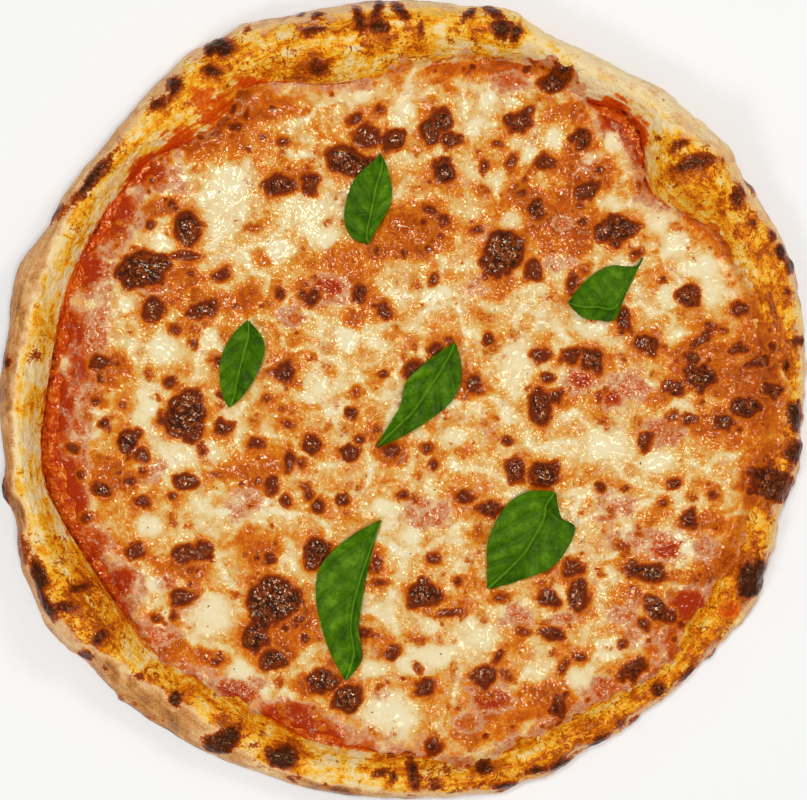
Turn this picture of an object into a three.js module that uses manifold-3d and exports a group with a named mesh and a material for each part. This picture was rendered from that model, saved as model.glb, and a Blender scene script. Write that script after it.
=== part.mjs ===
// A margherita pizza, whole and uncut: a thin wheat base with a puffed and scorched rim, tomato
// sauce, melted mozzarella with browned blisters, and six basil leaves.
// Millimetres, +Z up. The underside rests on z = 0, under the middle of the pizza at the origin.
import * as THREE from 'three';
import { mergeVertices } from 'three/addons/utils/BufferGeometryUtils.js';
import Module from 'manifold-3d';

const wasm = await Module();
wasm.setup();

// Driving dimensions.
const outerRadius = 158.3; // mean, to the outer edge of the rim
const rimInside = 139; // mean radius where the rim starts to rise
const rimHeight = 16;
const baseThickness = 4; // dough under the sauce
const sauceThickness = 0.95;
const cheeseThickness = 3.1;
const lipThickness = 1.3; // cheese where it runs up the rim
const gap = 0.3; // clear space between two foods that touch
const leafThickness = 0.6;
const stations = 100; // round the rim
const sliver = 0.02; // shorter edges close up
const seed = 11;

// What changes round the pizza. at and wide are degrees, anticlockwise from +X; by is millimetres.
const edgeSwells = [
  { at: 6, wide: 8, by: 2 },
  { at: 20, wide: 9, by: 5.5 },
  { at: 30, wide: 5, by: 1.6 },
  { at: 39, wide: 6, by: 4 },
  { at: 49, wide: 4, by: 2.3 },
  { at: 64, wide: 9, by: -2.6 },
  { at: 75, wide: 3.5, by: 2.4 },
  { at: 113, wide: 4, by: 3.6 },
  { at: 122, wide: 4, by: 3.2 },
  { at: 141, wide: 6, by: -2.8 },
  { at: 153, wide: 3.5, by: -2.2 },
  { at: 162, wide: 5, by: 2.6 },
  { at: 180, wide: 8, by: 1.6 },
  { at: 193, wide: 2.8, by: 3.4 },
  { at: 204, wide: 6, by: 6 },
  { at: 213, wide: 6, by: 6.2 },
  { at: 226, wide: 8, by: 4.6 },
  { at: 240, wide: 7, by: 1.8 },
  { at: 284, wide: 3, by: 2.3 },
  { at: 291, wide: 2.6, by: 1.7 },
  { at: 298, wide: 3, by: -1.7 },
  { at: 307, wide: 4, by: -1.3 },
  { at: 329, wide: 5.5, by: 3.4 },
  { at: 344, wide: 4, by: -2.4 },
  { at: 351, wide: 3, by: 1.5 },
];
const insideSwells = [
  { at: 2, wide: 14, by: 2 },
  { at: 39, wide: 7, by: -12 },
  { at: 51, wide: 5, by: 5 },
  { at: 71, wide: 5, by: 3 },
  { at: 98, wide: 15, by: -13 },
  { at: 125, wide: 7, by: -12 },
  { at: 192, wide: 11, by: 5.5 },
  { at: 240, wide: 8, by: -6 },
  { at: 280, wide: 7, by: 4 },
  { at: 315, wide: 10, by: 6 },
];
const heightSwells = [
  { at: 0, wide: 20, by: -4.5 },
  { at: 38, wide: 8, by: 6 },
  { at: 60, wide: 8, by: 2 },
  { at: 95, wide: 20, by: 4 },
  { at: 122, wide: 7, by: 2.5 },
  { at: 180, wide: 22, by: 3 },
  { at: 213, wide: 9, by: 7 },
  { at: 270, wide: 14, by: -1.5 },
  { at: 315, wide: 16, by: -4 },
];
const cheeseSpill = [
  { at: 0, wide: 20, by: 8 }, // runs up over the rim
  { at: 25, wide: 6, by: 3 },
  { at: 50, wide: 6, by: -9 },
  { at: 84, wide: 12, by: 1.5 },
  { at: 132, wide: 9, by: -8 },
  { at: 150, wide: 7, by: -4 },
  { at: 170, wide: 14, by: -5 },
  { at: 193, wide: 12, by: -9 },
  { at: 212, wide: 10, by: -4 },
  { at: 257, wide: 8, by: -7 },
  { at: 322, wide: 9, by: -12 },
];

// The rim's section: share of its width from inside, and share of its rise above the base.
const rimUpper = [
  [0, 0],
  [0.1, 0.36],
  [0.22, 0.7],
  [0.36, 0.93],
  [0.5, 1],
  [0.67, 0.93],
  [0.83, 0.7],
];
// The outer wall below it: how far in from the edge, and the share of the rim's height.
const rimWall = [
  [0.8, 0.52],
  [0, 0.3],
  [2.2, 0.08],
  [8, 0],
];

// Browned crags on the rim: x, y, length, width, degrees turned.
const crags = [
  [-71, 137, 11, 8, 10], [-90, 122, 9, 6, 30], [-121, 86, 22, 4.5, 50], [-35, 143, 9, 4, 20],
  [-17, 148, 13, 4.5, 105], [-8, 151, 10, 7, 30], [28, 150, 11, 5, 140], [40, 144, 13, 6, 0],
  [62, 131, 12, 9, 20], [112, 91, 13, 6, 0], [130, 79, 10, 6, 100], [149, 57, 10, 8, 60],
  [152, -8, 12, 7, 10], [151, -22, 10, 8, 90], [145, -34, 15, 13, 120], [137, -71, 16, 12, 60],
  [100, -114, 8, 6, 0], [77, -133, 9, 5, 20], [59, -142, 10, 5, 30], [34, -145, 9, 5, 10],
  [4, -145, 12, 6, 95], [-47, -139, 12, 9, 0], [-70, -132, 14, 10, 30], [-138, -75, 22, 6, 120],
  [-156, -36, 9, 6, 105],
];

// The larger browned blisters of the cheese: x, y, length, width, degrees turned.
const blisters = [
  [-103, 52, 18, 15, 0], [-85, 68, 14, 10, 90], [-99, 36, 10, 8, 80], [-79, 36, 14, 7, 20],
  [-118, 13, 10, 7, 150], [-109, -16, 10, 9, 0], [-86, -6, 18, 16, 90], [-106, -60, 10, 7, 0],
  [-83, -60, 15, 9, 0], [-52, -79, 20, 18, 60], [-59, -94, 11, 9, 90], [-51, -102, 10, 9, 0],
  [-31, -111, 13, 10, 20], [-22, -119, 12, 10, 90], [-34, -60, 13, 10, 80], [8, -77, 13, 10, 0],
  [9, -113, 10, 9, 90], [32, -109, 11, 9, 60], [60, -120, 10, 7, 90], [64, -74, 20, 15, 100],
  [59, -93, 11, 7, 0], [90, -107, 14, 8, 25], [101, -83, 15, 8, 130], [96, -68, 18, 8, 170],
  [56, -30, 13, 11, 0], [45, -27, 11, 8, 90], [34, -43, 12, 7, 0], [54, -2, 14, 9, 90],
  [28, 6, 11, 8, 100], [40, 59, 18, 17, 0], [53, 75, 10, 7, 90], [73, 83, 13, 8, 25],
  [84, 67, 17, 11, 10], [46, 110, 11, 8, 0], [12, 109, 14, 10, 120], [16, 90, 11, 9, 90],
  [-21, 94, 20, 11, 155], [-4, 103, 10, 9, 0], [-49, 85, 15, 9, 0], [113, 41, 11, 8, 0],
  [88, 31, 10, 7, 90], [76, 17, 10, 9, 0], [117, 8, 13, 9, 10], [97, 22, 11, 7, 0],
  [131, -5, 13, 9, 10],
];

// Basil leaves: the points of the two edges, from the stem to the tip, left and right as seen that way.
const leafEdges = [
  {
    left: [[-14, 61.5], [-20, 63.9], [-23.2, 72], [-20, 85.5], [-11.2, 94.5], [-9.1, 97.5]],
    right: [[-13, 62], [-10.5, 67], [-5.6, 75.5], [-4.4, 83], [-6.2, 91.5], [-8.6, 97.2]],
  },
  {
    left: [[94.9, 56], [91, 47], [83.3, 31.6], [76.5, 31.6], [70, 33.2], [65.4, 37.8]],
    right: [[94.4, 56.6], [90, 52.6], [82, 53], [75, 49.8], [69, 43.6], [65.2, 38.6]],
  },
  {
    left: [[-60.8, 31.3], [-55.6, 25], [-54.7, 18], [-58.4, 8.5], [-63.2, 1.4], [-68.2, -2.8]],
    right: [[-61.4, 31.5], [-66.5, 26.3], [-71.2, 18], [-72.2, 8], [-70.6, 0.5], [-68.8, -3]],
  },
  {
    left: [[20.9, 22.4], [23.1, 12], [20.2, 0.8], [9.5, -8.6], [-2.8, -15.7], [-10.1, -18.5]],
    right: [[20.3, 22.8], [10, 15.6], [1.4, 7.3], [-1.2, -2.2], [-6.6, -11.5], [-10.4, -18]],
  },
  {
    left: [[-8.5, -47.6], [-12, -59], [-15.4, -75], [-17.3, -89.8], [-16.2, -102], [-22.3, -110.8]],
    right: [[-9, -47.3], [-19.9, -53.3], [-32, -64.5], [-34.2, -78.5], [-29.6, -97], [-22.9, -110.6]],
  },
  {
    left: [[60.3, -36.8], [62.2, -46], [67.8, -50.8], [60.2, -64.4], [46, -71], [33.8, -74.7]],
    right: [[59, -36], [48.5, -36.2], [39.6, -43], [33.6, -55.5], [33.2, -66.5], [33.2, -74.4]],
  },
];
const leafRows = 10; // along a leaf
const leafColumns = 4; // across it

// Seeded random numbers from 0 to 1.
function drawer(start) {
  let state = start;
  return () => {
    state = (state * 1664525 + 1013904223) % 4294967296;
    return state / 4294967296;
  };
}

function around(mean, swells, degrees) {
  return swells.reduce((sum, swell) => {
    const apart = Math.abs(((degrees - swell.at + 540) % 360) - 180);
    return sum + swell.by * Math.exp(-((apart / swell.wide) ** 2));
  }, mean);
}

const edgeAt = (degrees) => around(outerRadius, edgeSwells, degrees);
const insideAt = (degrees) => around(rimInside, insideSwells, degrees);
const crownAt = (degrees) => around(rimHeight, heightSwells, degrees) + 0.7 * Math.sin(degrees / 3.1);
const cheeseEdgeAt = (degrees) => insideAt(degrees) + around(1, cheeseSpill, degrees);

function place(radius, degrees, z) {
  const angle = THREE.MathUtils.degToRad(degrees);
  return [radius * Math.cos(angle), radius * Math.sin(angle), z];
}

function ring(count, pointAt) {
  return Array.from({ length: count }, (_, i) => pointAt((360 * i) / count));
}

// A closed body from rings of points, each ordered anticlockwise from +X. They run from the middle
// of the top, out and down the side, to the middle of the underside, and may differ in count.
function loft(rings) {
  const positions = rings.flat(2);
  const triangles = [];
  const starts = [];
  rings.reduce((start, points) => {
    starts.push(start);
    return start + points.length;
  }, 0);
  for (let i = 1; i < rings[0].length - 1; i++) {
    triangles.push(starts[0], starts[0] + i, starts[0] + i + 1);
  }
  for (let k = 0; k < rings.length - 1; k++) {
    const n = rings[k].length;
    const m = rings[k + 1].length;
    let i = 0;
    let j = 0;
    while (i < n || j < m) {
      const a = starts[k] + (i % n);
      const b = starts[k + 1] + (j % m);
      if (i === n || (j < m && (j + 1) * n <= (i + 1) * m)) {
        j++;
        triangles.push(a, b, starts[k + 1] + (j % m));
      } else {
        i++;
        triangles.push(a, b, starts[k] + (i % n));
      }
    }
  }
  const last = rings.length - 1;
  for (let i = 1; i < rings[last].length - 1; i++) {
    triangles.push(starts[last], starts[last] + i + 1, starts[last] + i);
  }
  const geometry = new THREE.BufferGeometry();
  geometry.setAttribute('position', new THREE.Float32BufferAttribute(positions, 3));
  geometry.setIndex(triangles);
  return geometry;
}

function solidOf(geometry) {
  return new wasm.Manifold(
    new wasm.Mesh({
      numProp: 3,
      vertProperties: new Float32Array(geometry.attributes.position.array),
      triVerts: new Uint32Array(geometry.index.array),
    }),
  );
}

function indexedGeometryOf(solid) {
  const { vertProperties, triVerts } = solid.getMesh();
  const geometry = new THREE.BufferGeometry();
  geometry.setAttribute('position', new THREE.BufferAttribute(vertProperties, 3));
  geometry.setIndex(new THREE.BufferAttribute(triVerts, 1));
  return geometry;
}

// The largest body of a solid, as a geometry. Slivers are closed up, and what a cut leaves loose goes.
function geometryOf(solid) {
  const closed = solidOf(mergeVertices(indexedGeometryOf(solid), sliver));
  const bodies = closed.decompose().sort((a, b) => b.volume() - a.volume());
  const flat = indexedGeometryOf(bodies[0]).toNonIndexed();
  flat.computeVertexNormals();
  return flat;
}

// A squashed lump of uneven outline, half sunk in the surface that it stands on.
function lump([x, y, long, wide, turn], z, high, grown, draw) {
  const geometry = new THREE.SphereGeometry(1, 8, 4);
  geometry.deleteAttribute('normal');
  geometry.deleteAttribute('uv');
  const merged = mergeVertices(geometry);
  const points = merged.attributes.position;
  for (let i = 0; i < points.count; i++) {
    const uneven = 0.88 + 0.24 * draw();
    points.setXYZ(i, points.getX(i) * uneven, points.getY(i) * uneven, points.getZ(i));
  }
  merged.rotateX(Math.PI / 2);
  merged.scale(long / 2 + grown, wide / 2 + grown, high + grown);
  merged.rotateZ(THREE.MathUtils.degToRad(turn));
  merged.translate(x, y, z);
  return solidOf(merged);
}

const polar = (x, y) => [Math.hypot(x, y), (THREE.MathUtils.radToDeg(Math.atan2(y, x)) + 360) % 360];

// Height of the dough, seen from above, before its crags.
function doughTop(x, y) {
  const [radius, degrees] = polar(x, y);
  const inside = insideAt(degrees);
  const share = (radius - inside) / (edgeAt(degrees) - inside);
  if (share <= 0) return baseThickness;
  const next = rimUpper.findIndex(([along]) => along > share);
  if (next < 0) return crownAt(degrees) * 0.5;
  const [from, low] = rimUpper[next - 1];
  const [to, high] = rimUpper[next];
  const rise = low + ((high - low) * (share - from)) / (to - from);
  return baseThickness + rise * (crownAt(degrees) - baseThickness);
}

function crustSolid(grown) {
  const rings = [
    ring(11, (a) => place(14, a, baseThickness + grown)),
    ring(40, (a) => place(75, a, baseThickness + grown)),
  ];
  for (const [along, rise] of rimUpper) {
    rings.push(ring(stations, (a) => {
      const inside = insideAt(a);
      const radius = inside + along * (edgeAt(a) - inside);
      const z = baseThickness + rise * (crownAt(a) - baseThickness);
      return place(radius - grown * (1 - 2 * along), a, z + grown);
    }));
  }
  for (const [inwards, share] of rimWall) {
    rings.push(ring(stations, (a) => place(edgeAt(a) - inwards + grown, a, share * crownAt(a))));
  }
  rings.push(ring(40, (a) => place(75, a, 0)), ring(11, (a) => place(14, a, 0)));
  const draw = drawer(seed);
  return crags.reduce((dough, crag) => {
    const high = 1 + 0.12 * crag[3];
    return dough.add(lump(crag, doughTop(crag[0], crag[1]) - 0.3, high, grown, draw));
  }, solidOf(loft(rings)));
}

// The sauce climbs a little on the inside of the rim. As a cutter it is grown, and runs on under it.
function sauceLoft(grown, runOn) {
  const bottom = baseThickness + gap + 0.05;
  const top = bottom + sauceThickness + grown;
  return solidOf(loft([
    ring(11, (a) => place(14, a, top)),
    ring(40, (a) => place(75, a, top)),
    ring(stations / 2, (a) => place(insideAt(a) - 14, a, top)),
    ring(stations, (a) => place(insideAt(a) - 5, a, top + 0.5 + 0.4 * Math.sin(a / 2.3))),
    ring(stations, (a) => place(insideAt(a) + 1.2, a, top + 1.6)),
    ring(stations, (a) => place(insideAt(a) + 1.6 + runOn, a, top + 1)),
    ring(stations, (a) => place(insideAt(a) - 1 + runOn, a, bottom)),
    ring(40, (a) => place(75, a, bottom)),
    ring(11, (a) => place(14, a, bottom)),
  ]));
}

const cheeseBottom = baseThickness + sauceThickness + 2 * gap + 0.1;

// Height of the cheese before its blisters. It thins to a lip at its edge, and climbs on the rim.
function cheeseTop(x, y) {
  const [radius, degrees] = polar(x, y);
  const fromEdge = Math.max(cheeseEdgeAt(degrees) - radius, 0);
  const full = Math.min(1, 0.2 + fromEdge / 9);
  const waves = 0.35 * Math.sin(x / 9 + Math.sin(y / 13)) + 0.35 * Math.sin(y / 8 + Math.sin(x / 11));
  const overSauce = cheeseBottom + cheeseThickness * (0.45 + 0.55 * full);
  return Math.max(overSauce, doughTop(x, y) + gap + lipThickness) + waves * full;
}

function onCheese(radius, degrees, below = 0) {
  const [x, y] = place(radius, degrees, 0);
  return [x, y, cheeseTop(x, y) - below];
}

function cheeseSolid() {
  const rings = [[11, 10], [20, 24], [30, 40], [40, 56], [50, 72], [60, 88], [72, 104], [90, 118]];
  const lofted = rings.map(([count, radius]) => ring(count, (a) => onCheese(radius, a)));
  for (const inwards of [8, 4, 1.2]) {
    lofted.push(ring(stations, (a) => onCheese(Math.max(cheeseEdgeAt(a) - inwards, 119), a)));
  }
  lofted.push(
    ring(stations, (a) => onCheese(cheeseEdgeAt(a), a, 0.7)),
    ring(stations, (a) => place(cheeseEdgeAt(a) - 0.5, a, cheeseBottom)),
    ring(40, (a) => place(75, a, cheeseBottom)),
    ring(11, (a) => place(10, a, cheeseBottom)),
  );
  const draw = drawer(seed + 1);
  const blistered = blisters.reduce(
    (cheese, blister) => {
      const z = cheeseTop(blister[0], blister[1]) - 0.2;
      return cheese.add(lump(blister, z, blisterHeight(blister), 0, draw));
    },
    solidOf(loft(lofted)),
  );
  return blistered.subtract(crustSolid(gap)).subtract(sauceLoft(gap, 3));
}

function blisterHeight([, , , wide]) {
  return 0.9 + 0.1 * wide;
}

// Height at which a leaf clears the cheese and the blisters near a point.
function restHeight(x, y) {
  let height = 0;
  for (let turn = 0; turn < 8; turn++) {
    const [dx, dy] = place(2.5, turn * 45, 0);
    height = Math.max(height, cheeseTop(x + dx, y + dy));
  }
  for (const blister of blisters) {
    const reach = blister[2] * 0.6 + 2;
    const apart = Math.hypot(x - blister[0], y - blister[1]) / reach;
    if (apart >= 1) continue;
    const top = cheeseTop(blister[0], blister[1]) + blisterHeight(blister) * Math.sqrt(1 - apart ** 2);
    height = Math.max(height, top);
  }
  return height + gap + 0.2;
}

// A thin wavy leaf: the same grid of points above and below, closed round its edge.
function leafGeometry({ left, right }) {
  const curve = (points) => new THREE.CatmullRomCurve3(points.map(([x, y]) => new THREE.Vector3(x, y, 0)));
  const [leftCurve, rightCurve] = [curve(left), curve(right)];
  const upper = [];
  const lower = [];
  for (let row = 0; row <= leafRows; row++) {
    const from = leftCurve.getPoint(row / leafRows);
    const to = rightCurve.getPoint(row / leafRows);
    for (let column = 0; column <= leafColumns; column++) {
      const across = column / leafColumns;
      const { x, y } = from.clone().lerp(to, across);
      const cupped = 1.1 * (2 * across - 1) ** 2;
      const ripple = 0.5 + 0.5 * Math.sin(row * 1.3 + column * 0.9);
      const z = restHeight(x, y) + cupped + ripple;
      lower.push(x, y, z);
      upper.push(x, y, z + leafThickness);
    }
  }
  const perRow = leafColumns + 1;
  const count = perRow * (leafRows + 1);
  const triangles = [];
  const quad = (a, b, c, d) => triangles.push(a, b, c, a, c, d);
  for (let row = 0; row < leafRows; row++) {
    for (let column = 0; column < leafColumns; column++) {
      const a = row * perRow + column;
      quad(a, a + perRow, a + perRow + 1, a + 1);
      triangles.push(count + a, count + a + perRow + 1, count + a + perRow);
      triangles.push(count + a, count + a + 1, count + a + perRow + 1);
    }
    const first = row * perRow;
    const last = first + leafColumns;
    quad(count + first, count + first + perRow, first + perRow, first);
    quad(last, last + perRow, count + last + perRow, count + last);
  }
  for (let column = 0; column < leafColumns; column++) {
    const end = leafRows * perRow + column;
    quad(column, column + 1, count + column + 1, count + column);
    quad(end + 1, end, count + end, count + end + 1);
  }
  const geometry = new THREE.BufferGeometry();
  geometry.setAttribute('position', new THREE.Float32BufferAttribute([...lower, ...upper], 3));
  geometry.setIndex(triangles);
  const flat = geometry.toNonIndexed();
  flat.computeVertexNormals();
  return flat;
}

function food(name, geometry, color, roughness) {
  const mesh = new THREE.Mesh(geometry, new THREE.MeshStandardMaterial({ color, roughness, metalness: 0 }));
  mesh.name = name;
  return mesh;
}

const group = new THREE.Group();
group.add(
  food('crust', geometryOf(crustSolid(0)), '#e2b877', 0.8),
  food('tomato_sauce', geometryOf(sauceLoft(0, 0).subtract(crustSolid(gap))), '#b6380f', 0.35),
  food('cheese', geometryOf(cheeseSolid()), '#ecc985', 0.4),
);
leafEdges.forEach((edges, i) => {
  group.add(food(`basil_leaf_${i + 1}`, leafGeometry(edges), '#41690c', 0.45));
});

export default group;
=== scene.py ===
import math

import bpy
import numpy as np
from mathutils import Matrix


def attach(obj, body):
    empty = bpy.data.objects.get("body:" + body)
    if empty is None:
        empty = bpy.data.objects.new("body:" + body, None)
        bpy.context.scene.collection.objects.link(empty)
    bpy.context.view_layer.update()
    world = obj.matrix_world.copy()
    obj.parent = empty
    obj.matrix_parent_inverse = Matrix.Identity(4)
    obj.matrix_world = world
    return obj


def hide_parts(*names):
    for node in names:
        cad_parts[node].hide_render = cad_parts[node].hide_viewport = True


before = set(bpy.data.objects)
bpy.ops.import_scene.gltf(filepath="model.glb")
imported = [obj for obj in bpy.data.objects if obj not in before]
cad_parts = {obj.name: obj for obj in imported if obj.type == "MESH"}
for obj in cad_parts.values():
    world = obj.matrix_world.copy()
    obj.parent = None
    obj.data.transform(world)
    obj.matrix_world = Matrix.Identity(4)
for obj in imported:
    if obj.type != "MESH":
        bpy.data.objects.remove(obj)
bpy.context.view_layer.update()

mm = 0.001  # sizes and places below are in millimetres
print("frame loaded")

# The plan of the pizza. A swell is (degrees anticlockwise from +X, width in degrees, millimetres).
pizza = {
    "outerRadius": 158.3,
    "rimInside": 139,
    "rimHeight": 16,
    "crownRipple": 0.7,
    "ripplePitch": 3.1,
    "slopePower": 0.85,
    "edgeShare": 0.3,
    "baseThickness": 4,
    "sauceTop": 5.3,
    "cheeseBottom": 5.6,
    "cheeseThickness": 3.1,
    "lipThickness": 1.5,
    "edgeSwells": [
        (6, 8, 2), (20, 9, 5.5), (30, 5, 1.6), (39, 6, 4), (49, 4, 2.3), (64, 9, -2.6), (75, 3.5, 2.4),
        (113, 4, 3.6), (122, 4, 3.2), (141, 6, -2.8), (153, 3.5, -2.2), (162, 5, 2.6), (180, 8, 1.6),
        (193, 2.8, 3.4), (204, 6, 6), (213, 6, 6.2), (226, 8, 4.6), (240, 7, 1.8), (284, 3, 2.3),
        (291, 2.6, 1.7), (298, 3, -1.7), (307, 4, -1.3), (329, 5.5, 3.4), (344, 4, -2.4), (351, 3, 1.5),
    ],
    "insideSwells": [
        (2, 14, 2), (39, 7, -12), (51, 5, 5), (71, 5, 3), (98, 15, -13), (125, 7, -12), (192, 11, 5.5),
        (240, 8, -6), (280, 7, 4), (315, 10, 6),
    ],
    "heightSwells": [
        (0, 20, -4.5), (38, 8, 6), (60, 8, 2), (95, 20, 4), (122, 7, 2.5), (180, 22, 3), (213, 9, 7),
        (270, 14, -1.5), (315, 16, -4),
    ],
    "cheeseSpill": [
        (0, 20, 8), (25, 6, 3), (50, 6, -9), (84, 12, 1.5), (132, 9, -8), (150, 7, -4), (170, 14, -5),
        (193, 12, -9), (212, 10, -4), (257, 8, -7), (322, 9, -12),
    ],
}

# The grid of random slopes behind the noise, and the gain that brings its level to about -1 to 1.
lattice = {"side": 32, "seedStep": 31, "offset": 100.37, "octaveOffset": 0.29, "gain": 1.9}

# Lobes on the outline of a larger spot: how many, how far out, and their size beside the spot's.
lobes = {"from": 6.5, "count": 3, "reach": 0.85, "size": (0.35, 0.6), "length": (1, 1.4), "amount": (0.75, 1)}

# The turn and amount of a spot that gives none, how its outline wanders, each (height, size), and how its
# halo and dome grow with its width.
spotShape = {
    "usual": (0, 0.8),
    "wander": ((0.9, 6), (0.4, 2.4)),
    "margin": 8,
    "halo": (1.6, 0.12),
    "dome": (0.4, 0.17),
    "highest": 2.4,
    "foot": 1.15,
}

# How a soft patch spreads and fades, and how a crisp one wanders and frays, each (height, size).
zoneShape = {"spread": 0.55, "fade": 1.5, "wander": (5, 11), "fray": (0.3, 5), "crisp": (0.25, 0.75)}


def around(mean, swells, degrees):
    # the mean with each swell added at its direction
    total = np.full(np.shape(degrees), float(mean))
    for at, wide, by in swells:
        apart = np.abs((degrees - at + 540) % 360 - 180)
        total += by * np.exp(-(apart / wide) ** 2)
    return total


def noise(x, y, z, size, seed, octaves=1):
    # a smooth random field, mostly from -1 to 1, whose bumps are about one size across
    side, total, share, weight = lattice["side"], 0, 0, 1
    for octave in range(octaves):
        draw = np.random.default_rng(seed * lattice["seedStep"] + octave)
        slopes = draw.normal(size=(side, side, side, 3))
        slopes /= np.linalg.norm(slopes, axis=-1, keepdims=True)
        offset, step = lattice["offset"], lattice["octaveOffset"] * octave
        scaled = [np.asarray(values, float) / size + offset + step for values in (x, y, z)]
        whole = [np.floor(values).astype(int) for values in scaled]
        within = [values - floor for values, floor in zip(scaled, whole)]
        ease = [part ** 3 * (part * (6 * part - 15) + 10) for part in within]
        level = 0
        for corner in range(8):
            steps = [(corner >> axis) & 1 for axis in range(3)]
            slope = slopes[tuple((whole[axis] + steps[axis]) % side for axis in range(3))]
            rise = sum(slope[..., axis] * (within[axis] - steps[axis]) for axis in range(3))
            for axis in range(3):
                rise = rise * (ease[axis] if steps[axis] else 1 - ease[axis])
            level = level + rise
        total = total + weight * level
        share += weight
        size, weight = size / 2, weight * 0.5
    return total / share * lattice["gain"]


def flatNoise(x, y, size, seed, octaves=1):
    return noise(x, y, 0 * x, size, seed, octaves)


def smoothStep(low, high, values):
    share = np.clip((values - low) / (high - low), 0, 1)
    return share * share * (3 - 2 * share)


def mixed(weights, **layers):
    # the base plus the layers, each times its own weight
    total = weights.get("base", 0)
    for name, layer in layers.items():
        total = total + weights[name] * layer
    return total


def toPolar(x, y):
    return np.hypot(x, y), np.degrees(np.arctan2(y, x)) % 360


def edgeAt(degrees):
    return around(pizza["outerRadius"], pizza["edgeSwells"], degrees)


def insideAt(degrees):
    return around(pizza["rimInside"], pizza["insideSwells"], degrees)


def crownAt(degrees):
    ripple = pizza["crownRipple"] * np.sin(degrees / pizza["ripplePitch"])
    return around(pizza["rimHeight"], pizza["heightSwells"], degrees) + ripple


def doughTop(x, y):
    # height of the dough seen from above: the base, an inner slope and a round crown
    radius, degrees = toPolar(x, y)
    inside, crown, base, low = insideAt(degrees), crownAt(degrees), pizza["baseThickness"], pizza["edgeShare"]
    share = np.clip((radius - inside) / (edgeAt(degrees) - inside), 0, 1)
    slope = base + (crown - base) * np.sin(np.pi * np.minimum(share, 0.5)) ** pizza["slopePower"]
    outer = crown * (low + (1 - low) * np.sqrt(np.clip(1 - (2 * share - 1) ** 2, 0, 1)))
    return np.where(share < 0.5, slope, outer)


def lobed(spots, seed):
    # the spots with all their values, and smaller lobes on the outline of the larger ones
    spots = [(*spot, *spotShape["usual"][len(spot) - 4:]) for spot in spots]
    draw, more = np.random.default_rng(seed), []
    for x, y, length, width, turn, amount in spots:
        if length < lobes["from"]:
            continue
        tilt = math.radians(turn)
        for lobe in range(lobes["count"]):
            angle = draw.uniform(0, 2 * math.pi)
            along = length / 2 * math.cos(angle) * lobes["reach"]
            across = width / 2 * math.sin(angle) * lobes["reach"]
            size = min(length, width) * draw.uniform(*lobes["size"])
            more.append((
                x + along * math.cos(tilt) - across * math.sin(tilt),
                y + along * math.sin(tilt) + across * math.cos(tilt),
                size * draw.uniform(*lobes["length"]), size, draw.uniform(0, 180),
                amount * draw.uniform(*lobes["amount"])))
    return spots + more


def wander(x, y, seed):
    (broad, broadSize), (fine, fineSize) = spotShape["wander"]
    return broad * flatNoise(x, y, broadSize, seed) + fine * flatNoise(x, y, fineSize, seed + 1)


def spotFields(x, y, spots, seed, soft, warp):
    # dark: half on the outline of the nearest spot, full inside; halo: fades outside it; dome: its height
    shape = np.shape(x)
    x, y = np.ravel(x), np.ravel(y)
    dark, halo, dome = np.zeros(x.shape), np.zeros(x.shape), np.zeros(x.shape)
    bentX = x + warp * wander(x, y, seed)
    bentY = y + warp * wander(x, y, seed + 2)
    haloWidth, haloGrowth = spotShape["halo"]
    lowest, growth = spotShape["dome"]
    for atX, atY, length, width, turn, amount in spots:
        reach = length / 2 + spotShape["margin"]
        near = np.flatnonzero((np.abs(x - atX) < reach) & (np.abs(y - atY) < reach))
        angle = math.radians(turn)
        offX, offY = bentX[near] - atX, bentY[near] - atY
        along = (offX * math.cos(angle) + offY * math.sin(angle)) / (length / 2)
        across = (offY * math.cos(angle) - offX * math.sin(angle)) / (width / 2)
        apart = np.hypot(along, across)
        outside = (apart - 1) * width / 2
        high = min(spotShape["highest"], lowest + growth * width)
        fade = np.exp(-np.maximum(outside, 0) / (haloWidth + haloGrowth * width))
        dark[near] = np.maximum(dark[near], amount * np.clip(0.5 - outside / soft, 0, 1))
        halo[near] = np.maximum(halo[near], amount * fade)
        dome[near] = np.maximum(dome[near], high * np.sqrt(np.clip(spotShape["foot"] - apart ** 2, 0, 1)))
    return [field.reshape(shape) for field in (dark, halo, dome)]


def zoneField(x, y, zones, seed=0, crisp=0):
    # soft patches, each (x, y, width, height), joined where they meet; crisp ones have clear edges
    (far, farSize), (fray, fraySize), spread = zoneShape["wander"], zoneShape["fray"], zoneShape["spread"]
    bentX = x + far * crisp * flatNoise(x, y, farSize, seed, 2)
    bentY = y + far * crisp * flatNoise(x, y, farSize, seed + 1, 2)
    empty = np.ones(np.shape(x))
    for atX, atY, width, height in zones:
        apart = ((bentX - atX) / (width * spread)) ** 2 + ((bentY - atY) / (height * spread)) ** 2
        empty *= 1 - np.exp(-apart ** zoneShape["fade"])
    full = 1 - empty
    frayed = full + fray * flatNoise(x, y, fraySize, seed + 2)
    return full + crisp * (smoothStep(*zoneShape["crisp"], frayed) - full)


def makeMesh(name, vertices, faces, fields, material):
    mesh = bpy.data.meshes.new(name)
    mesh.from_pydata((np.asarray(vertices) * mm).tolist(), [], faces)
    for field, values in fields.items():
        values = np.asarray(values, np.float32)
        kind, part = ("FLOAT", "value") if values.ndim == 1 else ("FLOAT_VECTOR", "vector")
        mesh.attributes.new(field, kind, "POINT").data.foreach_set(part, values.ravel())
    mesh.shade_smooth()
    mesh.materials.append(material)
    mesh.validate()
    piece = bpy.data.objects.new(name, mesh)
    bpy.context.scene.collection.objects.link(piece)
    return piece


def flatRing(count, share, outlineAt, height):
    # a level ring of points at a share of the way from the middle to an outline
    degrees = np.arange(count) * 360 / count
    radius = share * outlineAt(degrees)
    turn = np.radians(degrees)
    return np.stack([radius * np.cos(turn), radius * np.sin(turn), np.full(count, float(height))], 1)


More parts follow.
